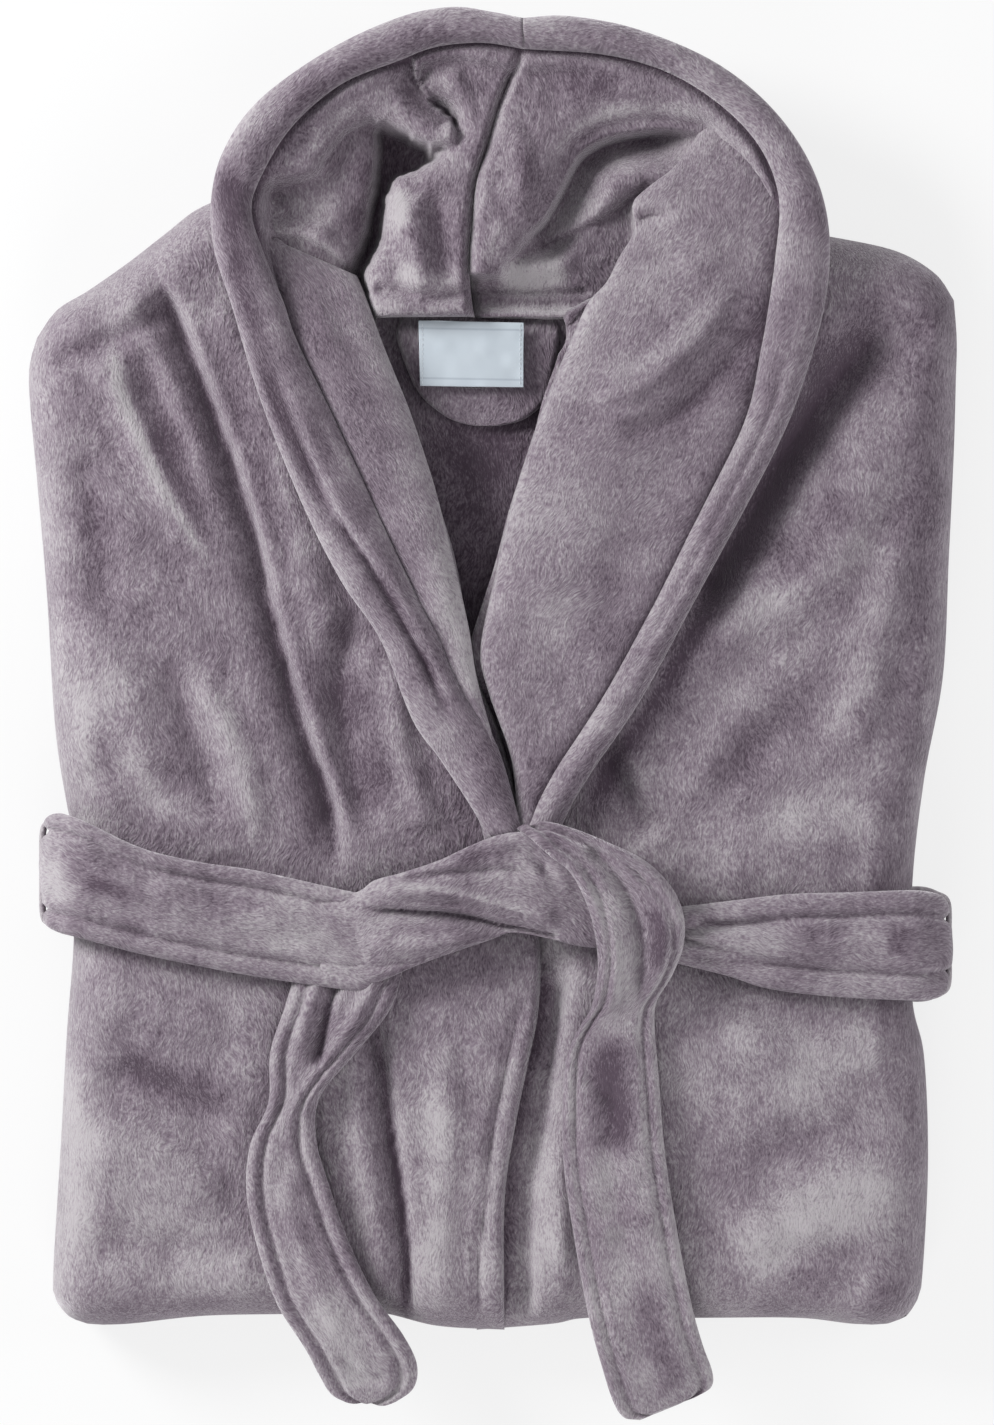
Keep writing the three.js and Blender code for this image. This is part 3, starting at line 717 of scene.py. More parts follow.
lapel(
    "right_lapel_cloth", "right_lapel",
    metres((8, -40), (0, -10), (-8, 20), (-12, 45), (-20, 80), (-29, 115), (-37, 140), (-43, 157),
           (-50, 174), (-57, 192), (-63, 209), (-68, 221)),
    metres((8, -42), (2, -14), (-14, 12), (-26, 38), (-46, 78), (-61, 111), (-76, 143), (-87, 165),
           (-97, 186), (-104, 206), (-112, 228), (-118, 244)) + (-3 * mm, 0),
    [50.5 * mm, 51.5 * mm, 51.5 * mm, 51 * mm, 50 * mm, 41 * mm], rightLapelRelief, (1, 0.9, 0.3, 2.0),
    rightLapelNapAndLightStrokes)

leftLapelRelief = reliefOf(
    37, 0.9,
    ([(20, 40), (52, 120), (78, 170), (104, 230), (120, 262)], 5, 38, 34, 0.0, 0.1, 0.2),
    ([(44, 160), (72, 163), (104, 190), (128, 226)], 3.5, 14, 8, 0.2, 0.2, 0.3),
    ([(56, 142), (86, 149), (118, 178), (142, 212)], -4, 8, 12, 0.2, 0.2, 0.3),
    ([(60, 215), (80, 226), (104, 226)], -2, 12, 12, 0.1, 0.2, 0.4),
    ([(64, 246), (78, 250), (94, 251)], -7, 4, 7, 0.6, 0.05, 0.6))

leftLapelNapAndLightStrokes = napAndLightStrokeLines(
    ([(62, 234), (52, 214), (44, 190), (34, 160)], 0.7, 12, 8, 0.2, 0.2, 0.3),
    ([(50, 172), (84, 180), (112, 204), (130, 234)], 0.55, 12, 12, 0.1, 0.2, 0.3),
    ([(58, 138), (90, 148), (122, 178), (144, 208)], -0.8, 7, 12, 0.1, 0.2, 0.2),
    ([(62, 122), (46, 82), (32, 40), (22, 4)], 0.45, 20, 20, 0.0, 0.3, 0.3),
    ([(14, 20), (20, -20), (22, -44)], -0.4, 12, 12, 0.0, 0.3, 0.1),
    ([(96, 236), (110, 262), (118, 284)], -0.4, 14, 14, 0.0, 0.3, 0.3))

lapel(
    "left_lapel_cloth", "left_lapel",
    metres((12, -68), (12, -46), (9, -20), (-2, 12), (-6, 34), (2, 73), (10, 108), (24, 151), (34, 176),
           (41, 192), (48, 207), (57, 217), (63, 229), (71, 243), (70, 256), (77, 264), (92, 276),
           (106, 296)),
    metres((22, -68), (22, -46), (32, -26), (54, 8), (67, 31), (79, 53), (104, 103), (126, 148), (134, 183),
           (138, 206), (141, 228), (143, 258), (134, 283), (116, 303)) + (3 * mm, 0),
    [50 * mm, 50.5 * mm, 51 * mm, 51 * mm, 51 * mm, 51 * mm, 50 * mm, 43 * mm], leftLapelRelief,
    (1.2, 1.0, 0.3, 2.0), leftLapelNapAndLightStrokes)

bands = {"step": 1.7 * mm, "thick": 17 * mm, "rim": 12.5 * mm, "belly": 0.7}


def band(name, nodes, seam, edge, heights, relief, napAndLightStrokes):
    plan = {**bands, "round": (1, 1, 0.4, 0), "relief": relief, "napAndLightStrokes": napAndLightStrokes}
    piece = strip(name, raised(seam, heights), raised(edge, heights), plan, trimPlush)
    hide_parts(*nodes)
    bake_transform(piece)
    return piece


rightBandRelief = reliefOf(
    41, 0.75,
    ([(-116, 186), (-104, 153), (-85, 109), (-61, 75), (-37, 33), (-18, -8)],
     -5.5, 4.5, 6, 0.8, 0.15, 0.15),
    ([(-108, 186), (-94, 150), (-75, 106), (-53, 70), (-30, 30), (-12, -8)], 2.2, 6, 6, 0.0, 0.15, 0.15))

leftBandRelief = reliefOf(
    43, 0.75,
    ([(150, 196), (138, 150), (112, 98), (82, 44), (56, 2)], -1.6, 4, 4, 0.8, 0.2, 0.2))


rimLevel = (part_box("hood_band_left")[1][2] - bands["thick"] / 2) - 0.5 * mm
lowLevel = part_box("left_lapel_band")[1][2] - bands["thick"] / 2 + 1 * mm
band("right_band", ["right_lapel_band", "hood_band_right"], rightBandSeam, rightBandEdge,
     [lowLevel] * 3 + [rimLevel] * 3, rightBandRelief, napAndLightStrokeLines(
         ([(-132, 282), (-130, 240), (-122, 200), (-108, 158), (-92, 120)],
          -1.4, 12, 14, 0.1, 0.1, 0.2),
         ([(-40, 26), (-24, -10), (-10, -44)], 0.3, 10, 10, 0.1, 0.2, 0.1),
         ([(-92, 158), (-60, 106), (-37, 58), (-22, 30)], 1.0, 5, 5, 0.2, 0.15, 0.3),
         ([(-104, 153), (-85, 109), (-61, 75), (-37, 33), (-18, -8)],
          -1.4, 2.5, 2.5, 0.3, 0.15, 0.15),
         ([(-70, 326), (-40, 340), (-10, 343)], -0.3, 9, 9, 0.1, 0.2, 0.3)))
band("left_band", ["left_lapel_band", "hood_band_left"], leftBandSeam, leftBandEdge,
     [lowLevel - 2 * mm] + [lowLevel] * 2 + [rimLevel] * 3, leftBandRelief, napAndLightStrokeLines(
         ([(44, -26), (70, 14), (98, 62), (126, 112), (146, 160), (156, 206), (157, 250)],
          0.45, 12, 10, 0.1, 0.1, 0.2),
         ([(60, 342), (84, 334), (108, 318)], 0.4, 9, 7, 0.1, 0.3, 0.3)))
print("lapels and bands ready")

# ---- hood, spread open inside its rim ----
hoodSeam = metres((-9, 200), (-10.5, 209), (-11.5, 225), (-10.5, 242), (-8, 267), (-3, 283), (3, 304),
                  (8, 317), (14, 331), (14.6, 344))
hoods = {"step": 1.35 * mm, "cloth": 4 * mm, "crease": 30 * mm, "round": 12 * mm, "floor": 15 * mm,
         "ring": 57 * mm, "under": 3 * mm, "bandCrease": 3 * mm, "creaseDepth": 3 * mm,
         "tall": 200 * mm, "wide": 145 * mm, "bandCover": 26 * mm, "seamDepth": 6 * mm,
         "seamWide": 2.6 * mm}


# A layer is an outline, the edge of it that is rolled over, its height, how far the roll reaches
# (all in millimetres) and how much of the height it has already at its edge.
def layerLines(*rows):
    return [(metres(*outline), metres(*roll), level * mm, reach * mm, step)
            for outline, roll, level, reach, step in rows]


rightLayers = layerLines(
    ([(-42, 334), (-12, 338), (-8, 300), (-12, 282), (-32, 282), (-34, 300), (-42, 318), (-42, 334)],
     [(-42, 334), (-42, 318), (-34, 300)],
     37, 2, 0.9),
    ([(-140, 200), (-145, 290), (-90, 305), (-57, 300), (-57.5, 280), (-59, 265), (-64, 240), (-72, 221),
      (-72, 200), (-140, 200)],
     [(-52, 310), (-57, 295), (-59, 265), (-64, 240), (-72, 221), (-72, 196)],
     40, 12, 0.6),
    ([(-150, 250), (-111, 267), (-96, 268), (-87, 272), (-84, 280), (-74, 292), (-62, 298), (-49, 294),
      (-32, 285), (-18, 285), (-20, 300), (-30, 308), (-37, 318), (-34, 331), (-22, 338), (0, 360),
      (-80, 365), (-150, 320), (-150, 250)],
     [(-125, 262), (-111, 267), (-96, 268), (-87, 272), (-84, 280), (-74, 292), (-62, 298), (-49, 294),
      (-32, 285), (-10, 284)],
     53, 13, 0.8),
    ([(-22, 334), (-34, 331), (-37, 319), (-33, 311), (-22, 306), (-17, 300), (-20, 292), (-28, 281),
      (-38, 275), (-49, 271), (-54, 261), (-55, 248), (-57, 238), (-65, 223), (-63, 209), (-57, 190),
      (10, 190), (30, 334), (20, 360), (-10, 360), (-22, 334)],
     [(-10, 338), (-22, 334), (-34, 331), (-37, 319), (-33, 311), (-22, 306), (-17, 300), (-20, 292),
      (-28, 281), (-38, 275), (-49, 271), (-54, 261), (-55, 248), (-57, 238), (-65, 223), (-63, 209),
      (-57, 190)],
     51, 15, 0.66))
leftLayers = layerLines(
    ([(-30, 190), (-30, 240), (20, 262), (90, 262), (90, 190), (-30, 190)],
     [(-30, 190), (90, 190)],
     37, 50, 0.3),
    ([(10, 230), (17, 238), (26, 237), (36, 241), (49, 247), (61, 254), (69, 260), (80, 265), (130, 270),
      (130, 320), (10, 320), (10, 230)],
     [(8, 230), (17, 238), (26, 237), (36, 241), (49, 247), (61, 254), (69, 260), (80, 265)],
     46, 10, 0.8),
    ([(118, 310), (106, 296), (88, 298), (73, 298), (59, 296), (46, 290), (38, 283), (34, 273), (29, 262),
      (23, 248), (17, 239), (13, 233), (7, 228), (5, 220), (-30, 220), (-20, 370), (150, 370), (118, 310)],
     [(118, 300), (106, 296), (88, 298), (73, 298), (59, 296), (46, 290), (38, 283), (34, 273), (29, 262),
      (23, 248), (17, 239), (13, 233), (7, 228), (3, 218)],
     53, 16, 0.76),
    ([(72, 190), (72, 240), (70, 256), (77, 264), (92, 274), (104, 290), (114, 312), (200, 330), (200, 190),
      (72, 190)],
     [(72, 190), (72, 240), (70, 256), (77, 264), (92, 274), (104, 290), (112, 304)],
     49, 12, 0.6))
rightHoodFolds = foldLines(
    ([(-46, 262), (-40, 240), (-36, 220), (-34, 203)], 5, 16, 14, 0.0, 0.2, 0.2),
    ([(-26, 268), (-26, 240), (-24, 212)], -3.5, 10, 12, 0.1, 0.2, 0.2),
    ([(-70, 262), (-84, 246), (-92, 228)], 3, 12, 12, 0.0, 0.3, 0.3),
    ([(-22, 326), (-14, 306), (-12, 288)], 3, 8, 10, 0.0, 0.2, 0.4),
    ([(-94, 290), (-74, 306), (-50, 312)], 2.5, 9, 9, 0.0, 0.3, 0.3),
    ([(-60, 214), (-30, 210), (-10, 212)], -4, 6, 6, 0.3, 0.1, 0.1),
    ([(-126, 247), (-112, 243), (-92, 241), (-76, 231), (-66, 218)], 4.5, 12, 3.5, 0.3, 0.1, 0.15),
    ([(-41, 332), (-39, 319), (-32, 309), (-22, 302), (-17, 294)], -9, 2, 15, 0.4, 0.15, 0.15),
    ([(-128, 270), (-112, 262), (-98, 262)], -4, 5, 8, 0.3, 0.1, 0.3))
leftHoodFolds = foldLines(
    ([(30, 318), (60, 312), (90, 306)], 2.5, 12, 12, 0.0, 0.3, 0.3),
    ([(6, 300), (14, 280), (14, 250)], 3, 10, 12, 0.0, 0.3, 0.3),
    ([(112, 288), (88, 291), (72, 290), (58, 287), (46, 280), (40, 270), (34, 258), (26, 245), (16, 237)],
     -19, 22, 4, 0.25, 0.25, 0.1),
    ([(-9, 214), (20, 213), (50, 213)], -3, 3.5, 3.5, 0.5, 0.05, 0.05),
    ([(0, 226), (24, 226), (46, 232)], 4, 8, 10, 0.0, 0.2, 0.3),
    ([(-12, 199), (20, 198), (60, 198)], 14, 10, 9, 0.3, 0.02, 0.02))

rightHoodNapAndLightStrokes = napAndLightStrokeLines(
    ([(-48, 266), (-46, 254), (-44, 242)], 1.6, 8, 9, 0.3, 0.25, 0.25),
    ([(-40, 274), (-28, 284), (-18, 296)], 0.9, 7, 6, 0.3, 0.25, 0.3),
    ([(-100, 274), (-88, 284), (-74, 300), (-58, 304)], 0.8, 8, 5, 0.2, 0.2, 0.3),
    ([(-104, 256), (-90, 252), (-78, 242)], 0.6, 10, 8, 0.1, 0.2, 0.3),
    ([(-28, 262), (-22, 240), (-18, 222)], -0.6, 12, 12, 0.0, 0.3, 0.3),
    ([(-50, 222), (-34, 216), (-14, 214)], 1.3, 12, 8, 0.1, 0.2, 0.1),
    ([(-28, 322), (-20, 312)], 0.7, 7, 7, 0.2, 0.3, 0.3),
    ([(-46, 318), (-36, 306), (-24, 298)], -1.1, 3, 13, 0.3, 0.2, 0.2),
    ([(-118, 243), (-92, 240), (-76, 230)], 0.7, 7, 5, 0.2, 0.2, 0.2),
    ([(-66, 204), (-40, 203), (-12, 203)], 0.8, 6, 6, 0.1, 0.1, 0.1),
    ([(-60, 284), (-66, 256), (-72, 236)], -0.6, 8, 10, 0.1, 0.2, 0.2))
leftHoodNapAndLightStrokes = napAndLightStrokeLines(
    ([(108, 300), (88, 303), (72, 303), (58, 301), (42, 293), (32, 280), (26, 262)],
     1.2, 5, 8, 0.3, 0.15, 0.3),
    ([(2, 250), (2, 238), (-4, 226)], 1.1, 9, 9, 0.2, 0.25, 0.2),
    ([(36, 244), (56, 254), (74, 266), (88, 274)], 0.6, 9, 3, 0.2, 0.2, 0.3),
    ([(30, 318), (50, 316), (66, 312)], -0.7, 12, 10, 0.0, 0.3, 0.3),
    ([(10, 286), (20, 262)], -0.5, 10, 10, 0.0, 0.3, 0.3),
    ([(0, 222), (20, 220), (42, 226)], 2.3, 14, 12, 0.1, 0.2, 0.3),
    ([(-8, 204), (20, 203), (56, 203)], 0.9, 6, 6, 0.1, 0.1, 0.1),
    ([(40, 276), (60, 286), (90, 290)], -0.8, 10, 10, 0.1, 0.2, 0.3))


def softened(z, rounds):  # evens out steps between neighbouring points of a grid
    for _ in range(rounds):
        p = np.pad(z, 1, mode="edge")
        z = (p[1:-1, 1:-1] * 4 + p[:-2, 1:-1] + p[2:, 1:-1] + p[1:-1, :-2] + p[1:-1, 2:]) / 8
    return z


def hoodHalf(name, node, outer, bandSeam, layers, folds, napAndLightStrokes, seed):
    outer = np.vstack([(outer[0, 0], hoodSeam[0, 1] - 1 * mm), outer])
    seamLine, rimLine = smoothLine(hoodSeam, 400), smoothLine(outer, 400)
    v = spaced(hoods["tall"], hoods["step"], 0, 0)
    u = spaced(hoods["wide"], hoods["step"], 0, hoods["round"])
    a, b = pointsAt(seamLine, v)[:, None], pointsAt(rimLine, v)[:, None]
    spot = a * (1 - u)[None, :, None] + b * u[None, :, None]
    x, y = spot[:, :, 0], spot[:, :, 1]
    z = np.full(x.shape, hoods["floor"])
    for outline, roll, level, reach, step in layers:
        away = besideLine(x, y, smoothLine(roll, 12 * len(roll)))[0]
        raisedTo = hoods["floor"] + (level - hoods["floor"]) * (step + (1 - step) * roundOff(away, reach))
        z = np.where(inside(x, y, outline), np.maximum(z, raisedTo), z)
    z = softened(z, 3)
    seamAway = besideLine(x, y, seamLine[::4])[0]
    rim = besideLine(x, y, rimLine[::3])[0]
    rim[:, -1] = 0
    under = ease((hoods["bandCover"] - rim) / (8 * mm))  # flat under the rim band
    z = z * (1 - under) + hoods["ring"] * under
    relief = foldHeight(x, y, folds) + tumbled(x, y, seed, 0.8)
    relief = relief - hoods["seamDepth"] * np.exp(-(seamAway / hoods["seamWide"]) ** 2)
    fromNeck = besideLine(x, y, np.stack([spot[0, 0], spot[0, -1]]))[0]
    relief = relief - 5 * mm * (1 - roundOff(fromNeck, 5 * mm))
    crease = np.exp(-(besideLine(x, y, smoothLine(bandSeam, 200))[0] / hoods["bandCrease"]) ** 2)
    z = z + relief * ease(rim / (30 * mm)) - hoods["creaseDepth"] * crease
    edge = roundOff(rim, hoods["round"])
    top = np.stack([x, y, hoods["crease"] + (z - hoods["crease"]) * edge], -1)
    low = np.stack([x, y, hoods["crease"] + (hoods["under"] - hoods["crease"]) * edge], -1)
    # painted shade: the low hollows of the hood and the crease beside the band are painted darker
    nap = foldHeight(x, y, napAndLightStrokes) - 0.7 * ease((25 * mm - z) / (10 * mm)) - 1.4 * crease
    piece = shell(name, top, low, hoods["cloth"], bodyPlush, nap)
    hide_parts(node)
    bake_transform(piece)
    return piece


def drawnIn(line, towards, by):  # a line moved a little towards a point
    away = line - towards
    return line - away / np.linalg.norm(away, axis=1, keepdims=True) * by


hoodMiddle = metres((14, 262))[0]
hoodHalf("right_hood", "hood_right_half", drawnIn(rightBandEdge[8:], hoodMiddle, 4 * mm),
                     rightBandSeam, rightLayers, rightHoodFolds, rightHoodNapAndLightStrokes, 51)
hoodHalf("left_hood", "hood_left_half", drawnIn(leftBandEdge[7:], hoodMiddle, 4 * mm),
                    leftBandSeam, leftLayers, leftHoodFolds, leftHoodNapAndLightStrokes, 53)
print("hood ready")


# ---- belt ----
belts = {"step": 1.5 * mm, "rim": 5 * mm, "thick": 7 * mm, "turned": 6 * mm}


def runThickness(p):  # doubled up where the belt turns round the side
    turning = ease((52 * mm - p["z"]) / (12 * mm)) * ease((p["z"] - 6 * mm) / (12 * mm))
    return belts["thick"] + belts["turned"] * turning


def beltStrip(name, nodes, edgeA, edgeB, relief, napAndLightStrokes, thick=None, ends=(1, 1, 0.3, 0.3),
              body="robe"):
    plan = {**belts, "thick": thick or belts["thick"], "relief": relief, "round": ends, "napAndLightStrokes": napAndLightStrokes}
    piece = strip(name, edgeA, edgeB, plan, trimPlush)
    for n in nodes:
        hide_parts(n)
    if isinstance(body, str):
        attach(piece, body)
    else:
        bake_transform(piece)
    return piece


def channels(fromA, fromB, depth, filling=0):  # a stitched seam beside each edge, filled between them
    def added(p):
        puff = filling * mm * np.sin(np.pi * np.clip(p["fromA"] / p["widths"], 0, 1))
        seamA = groove(p["fromA"], fromA * mm, depth * mm)
        seamB = groove(p["fromB"], fromB * mm, depth * mm)
        return seamA + seamB + puff
    return added


rightRunRelief = reliefOf(
    61, 0.8,
    ([(-200, -84), (-160, -90), (-120, -100), (-80, -110)], 2.5, 12, 12, 0.0, 0.3, 0.3),
    ([(-200, -66), (-180, -80), (-160, -84)], -2.5, 6, 6, 0.2, 0.3, 0.3), extra=channels(9, 10, 3.6, 2.2))

beltStrip(
    "belt_right_cloth", ["belt_right_run"],
    metres((-62, -89, 54), (-74, -87, 54.5), (-119, -77, 55), (-146, -73, 55), (-175, -66, 55),
           (-203, -53, 53.5), (-215, -49, 46), (-219, -49, 36), (-219, -50, 22), (-216, -55, 10),
           (-209, -60, 4.2), (-196, -62, 3.6)),
    metres((-60, -137, 54), (-71, -137, 54.5), (-119, -130, 55), (-146, -125, 55), (-175, -119, 55),
           (-206, -111, 53.5), (-215, -109, 46), (-219, -107, 36), (-219, -106, 22), (-216, -108, 10),
           (-209, -110, 4.2), (-196, -112, 3.6)),
    rightRunRelief, thick=runThickness, napAndLightStrokes=napAndLightStrokeLines(
        ([(-204, -84), (-190, -86), (-178, -92)], -1.3, 8, 8, 0.3, 0.2, 0.3),
        ([(-190, -104), (-170, -108)], -0.8, 7, 7, 0.2, 0.3, 0.3),
        ([(-160, -84), (-130, -92), (-100, -98)], -0.6, 8, 8, 0.1, 0.3, 0.3),
        ([(-214, -70), (-212, -96)], 0.9, 8, 8, 0.2, 0.2, 0.2),
        ([(-120, -118), (-96, -112), (-80, -104)], 0.6, 8, 8, 0.2, 0.3, 0.3)))

leftRunRelief = reliefOf(
    63, 0.8,
    ([(96, -112), (130, -114), (170, -114), (210, -114)], 3, 12, 12, 0.0, 0.1, 0.3),
    ([(98, -102), (130, -106), (160, -104)], -2.6, 5, 5, 0.4, 0.1, 0.4),
    ([(98, -118), (124, -124), (150, -126)], -2.6, 5, 5, 0.4, 0.1, 0.4), extra=channels(12, 13, 3.6, 2.2))

beltStrip(
    "belt_left_cloth", ["belt_left_run"],
    metres((82, -96, 54), (95, -95, 54.5), (121, -92, 55), (147, -89, 55), (179, -88, 55), (207, -87, 54),
           (219, -88, 47), (222, -90, 36), (222, -91, 22), (218, -91, 10), (210, -91, 4.2),
           (197, -91, 3.6)),
    metres((82, -121, 54), (94, -124, 54.5), (118, -130, 55), (137, -136, 55), (168, -140, 55),
           (206, -142, 54), (219, -142, 47), (222, -141, 36), (222, -140, 22), (218, -140, 10),
           (210, -140, 4.2), (197, -140, 3.6)),
    leftRunRelief, thick=runThickness, napAndLightStrokes=napAndLightStrokeLines(
        ([(206, -104), (200, -120)], -1.2, 8, 8, 0.3, 0.2, 0.2),
        ([(150, -108), (180, -106)], -0.5, 6, 6, 0.2, 0.3, 0.3),
        ([(110, -116), (140, -116), (170, -118)], 0.5, 7, 7, 0.1, 0.3, 0.3)))


crossingRelief = reliefOf(
    65, 0.9,
    ([(-60, -88), (-38, -87), (-20, -88), (-2, -92), (14, -96), (34, -102)], 4, 9, 7, 0.2, 0.15, 0.1),
    ([(-66, -96), (-44, -97), (-20, -99), (4, -104), (34, -110)], -8, 3, 9, 0.8, 0.15, 0.05),
    ([(-70, -112), (-44, -114), (-14, -110), (6, -107)], 3.5, 9, 9, 0.0, 0.2, 0.3),
    ([(-66, -126), (-40, -122), (-10, -114)], -2.4, 3, 3, 0.6, 0.2, 0.3),
    ([(-56, -84), (-24, -78), (6, -76), (28, -80)], -3, 3, 6, 0.5, 0.2, 0.2),
    ([(4, -64), (20, -70), (34, -84)], -3, 6, 5, 0.3, 0.3, 0.3))

beltStrip(
    "belt_crossing_cloth", ["belt_crossing"],
    metres((-88, -92, 53), (-68, -88, 56), (-59, -82, 59), (-45, -78, 61), (-27, -72, 62), (-12, -65, 62),
           (4, -59, 61), (21, -58, 61), (40, -64, 60), (58, -78, 58)),
    metres((-86, -130, 53), (-68, -134.5, 55), (-55, -132, 57), (-39, -125, 58), (-20, -118, 58),
           (-2, -112, 58), (10, -108, 58), (28, -111, 58), (44, -115, 57), (60, -116, 56)),
    crossingRelief, thick=9 * mm, ends=(1.3, 1.3, 0.5, 0.5), napAndLightStrokes=napAndLightStrokeLines(
        ([(-50, -85), (-24, -86), (0, -92), (26, -100)], 1.0, 4, 3, 0.4, 0.2, 0.2),
        ([(-20, -72), (0, -68), (16, -72)], -0.6, 8, 8, 0.1, 0.3, 0.3),
        ([(-56, -106), (-30, -106), (-4, -104)], -0.7, 5, 5, 0.2, 0.2, 0.2),
        ([(-60, -124), (-34, -118)], 0.5, 6, 6, 0.2, 0.3, 0.3)))

# the knot's front strand runs on as the left tail
knotRelief = reliefOf(
    71, 0.8,
    ([(46, -64), (64, -82), (73, -108), (73, -146)], -6.5, 6, 8, 0.5, 0.1, 0.25),
    ([(60, -170), (60, -220), (70, -290)], -2.5, 10, 10, 0.1, 0.2, 0.3),
    ([(52, -60), (76, -74), (86, -96), (84, -126), (76, -150)], 3, 8, 8, 0.0, 0.1, 0.3),
    ([(34, -72), (52, -92), (60, -120), (56, -160)], 2.5, 6, 8, 0.0, 0.1, 0.3),
    ([(46, -176), (56, -190), (72, -196)], -2.5, 6, 6, 0.2, 0.2, 0.2),
    ([(50, -262), (64, -252), (84, -256)], 2, 7, 7, 0.1, 0.2, 0.2), extra=channels(7, 7, 3.2))

beltStrip(
    "belt_left_end", ["belt_knot", "left_tail"],
    metres((12, -56, 60), (19, -61, 65), (29, -70, 69), (38, -77, 70), (44, -87, 70), (49, -100, 69),
           (52, -116, 66), (52, -130, 62), (49, -146, 57.5), (42, -158, 55), (36, -175, 54.5),
           (35, -217, 54.5), (40, -256, 54.5), (48, -300, 54), (56, -330, 48), (61, -345, 42),
           (66, -352, 39), (74, -353.5, 39)),
    metres((26, -53, 60), (40, -56, 65), (58, -63, 69), (76, -72, 70), (89, -85, 70), (95, -99, 69),
           (95, -114, 66), (90, -128, 62), (82, -142, 57.5), (81, -156, 55), (83, -180, 54.5),
           (86, -217, 54.5), (92, -256, 54.5), (99, -292, 54), (105, -314, 50), (110, -328, 45),
           (110, -336, 42), (103, -341, 41)),
    knotRelief, thick=8 * mm, ends=(1.2, 1.2, 0.4, 0.9), napAndLightStrokes=napAndLightStrokeLines(
        ([(40, -74), (54, -92), (62, -118), (66, -150)], 0.5, 6, 6, 0.2, 0.2, 0.3),
        ([(80, -92), (84, -110), (80, -130)], -1.2, 8, 8, 0.2, 0.2, 0.3),
        ([(60, -156), (58, -190), (60, -222)], -2.1, 18, 18, 0.0, 0.2, 0.2),
        ([(60, -226), (66, -246), (70, -262)], -0.6, 12, 12, 0.1, 0.3, 0.3),
        ([(72, -276), (82, -310), (92, -338)], -1.1, 14, 12, 0.1, 0.3, 0.1)),
    body=("left_belt_end", (0, -0.112, 0.058), (0, -0.15, 0.058)))

rightTailRelief = reliefOf(
    73, 0.8,
    ([(-74, -120), (-79, -138), (-83, -154), (-88, -182)], -7.5, 4, 9, 0.7, 0.1, 0.25),
    ([(-54, -122), (-62, -142), (-76, -164), (-94, -190), (-104, -214)], 3.2, 9, 8, 0.0, 0.1, 0.2),
    ([(-90, -126), (-94, -150), (-100, -180)], 2, 8, 8, 0.0, 0.2, 0.4),
    ([(-102, -220), (-100, -250), (-84, -290), (-68, -320)], 2.2, 9, 9, 0.0, 0.2, 0.3),
    ([(-78, -318), (-64, -330), (-52, -330)], -2, 5, 5, 0.1, 0.2, 0.2), extra=channels(8, 9, 3.2))

beltStrip(
    "belt_right_end", ["right_tail"],
    metres((-98, -120, 48), (-100, -132, 50.5), (-104, -146, 54), (-111, -168, 54.5), (-112, -193, 54.5),
           (-121, -214, 54.5), (-123, -237, 54.5), (-118, -263, 54.5), (-108, -293, 54), (-94, -316, 50.5),
           (-87, -330, 45), (-81, -340, 41), (-72, -344.5, 39)),
    metres((-44, -118, 48), (-46, -132, 50.5), (-52, -148, 54), (-68, -168, 54.5), (-86, -190, 54.5),
           (-88, -211, 54.5), (-82, -233, 54.5), (-72, -262, 54.5), (-59, -289, 54), (-45, -309, 51),
           (-38, -324, 46), (-39, -336, 42), (-47, -343, 40), (-54, -345, 39)),
    rightTailRelief, ends=(1, 1, 0.3, 0.9), napAndLightStrokes=napAndLightStrokeLines(
        ([(-108, -190), (-106, -230), (-98, -262)], 0.4, 10, 10, 0.1, 0.3, 0.3),
        ([(-92, -280), (-78, -306), (-66, -336)], 1.0, 16, 16, 0.1, 0.3, 0.05),
        ([(-96, -136), (-102, -160)], 0.5, 6, 6, 0.1, 0.3, 0.3),
        ([(-80, -140), (-86, -176)], -1.2, 6, 6, 0.2, 0.2, 0.2)),
    body=("right_belt_end", (0, -0.125, 0.058), (0, -0.162, 0.058)))
print("belt ready")


# ---- neck, label and the layers inside ----
def simpleStrip(name, node, edgeA, edgeB, thick, material, slotName, seed, much, step=4 * mm,
                rim=3 * mm, up=1, napAndLightStrokes=()):
    plan = {"step": step, "rim": rim, "thick": thick, "relief": reliefOf(seed, much), "up": up,
            "napAndLightStrokes": napAndLightStrokes}
    piece = strip(name, edgeA, edgeB, plan, material)
    place(piece, node, slotName)
    return piece


def mirrored(side, *points):  # side is -1 for the right of the robe and 1 for its left
    return metres(*points) * (side, 1, 1)


backEdge = [(203.5, y, z) for y, z in (
    (203, 27), (100, 27), (-100, 27), (-280, 26.5), (-291, 19), (-280, 11.5), (-100, 11), (60, 11),
    (150, 11))]
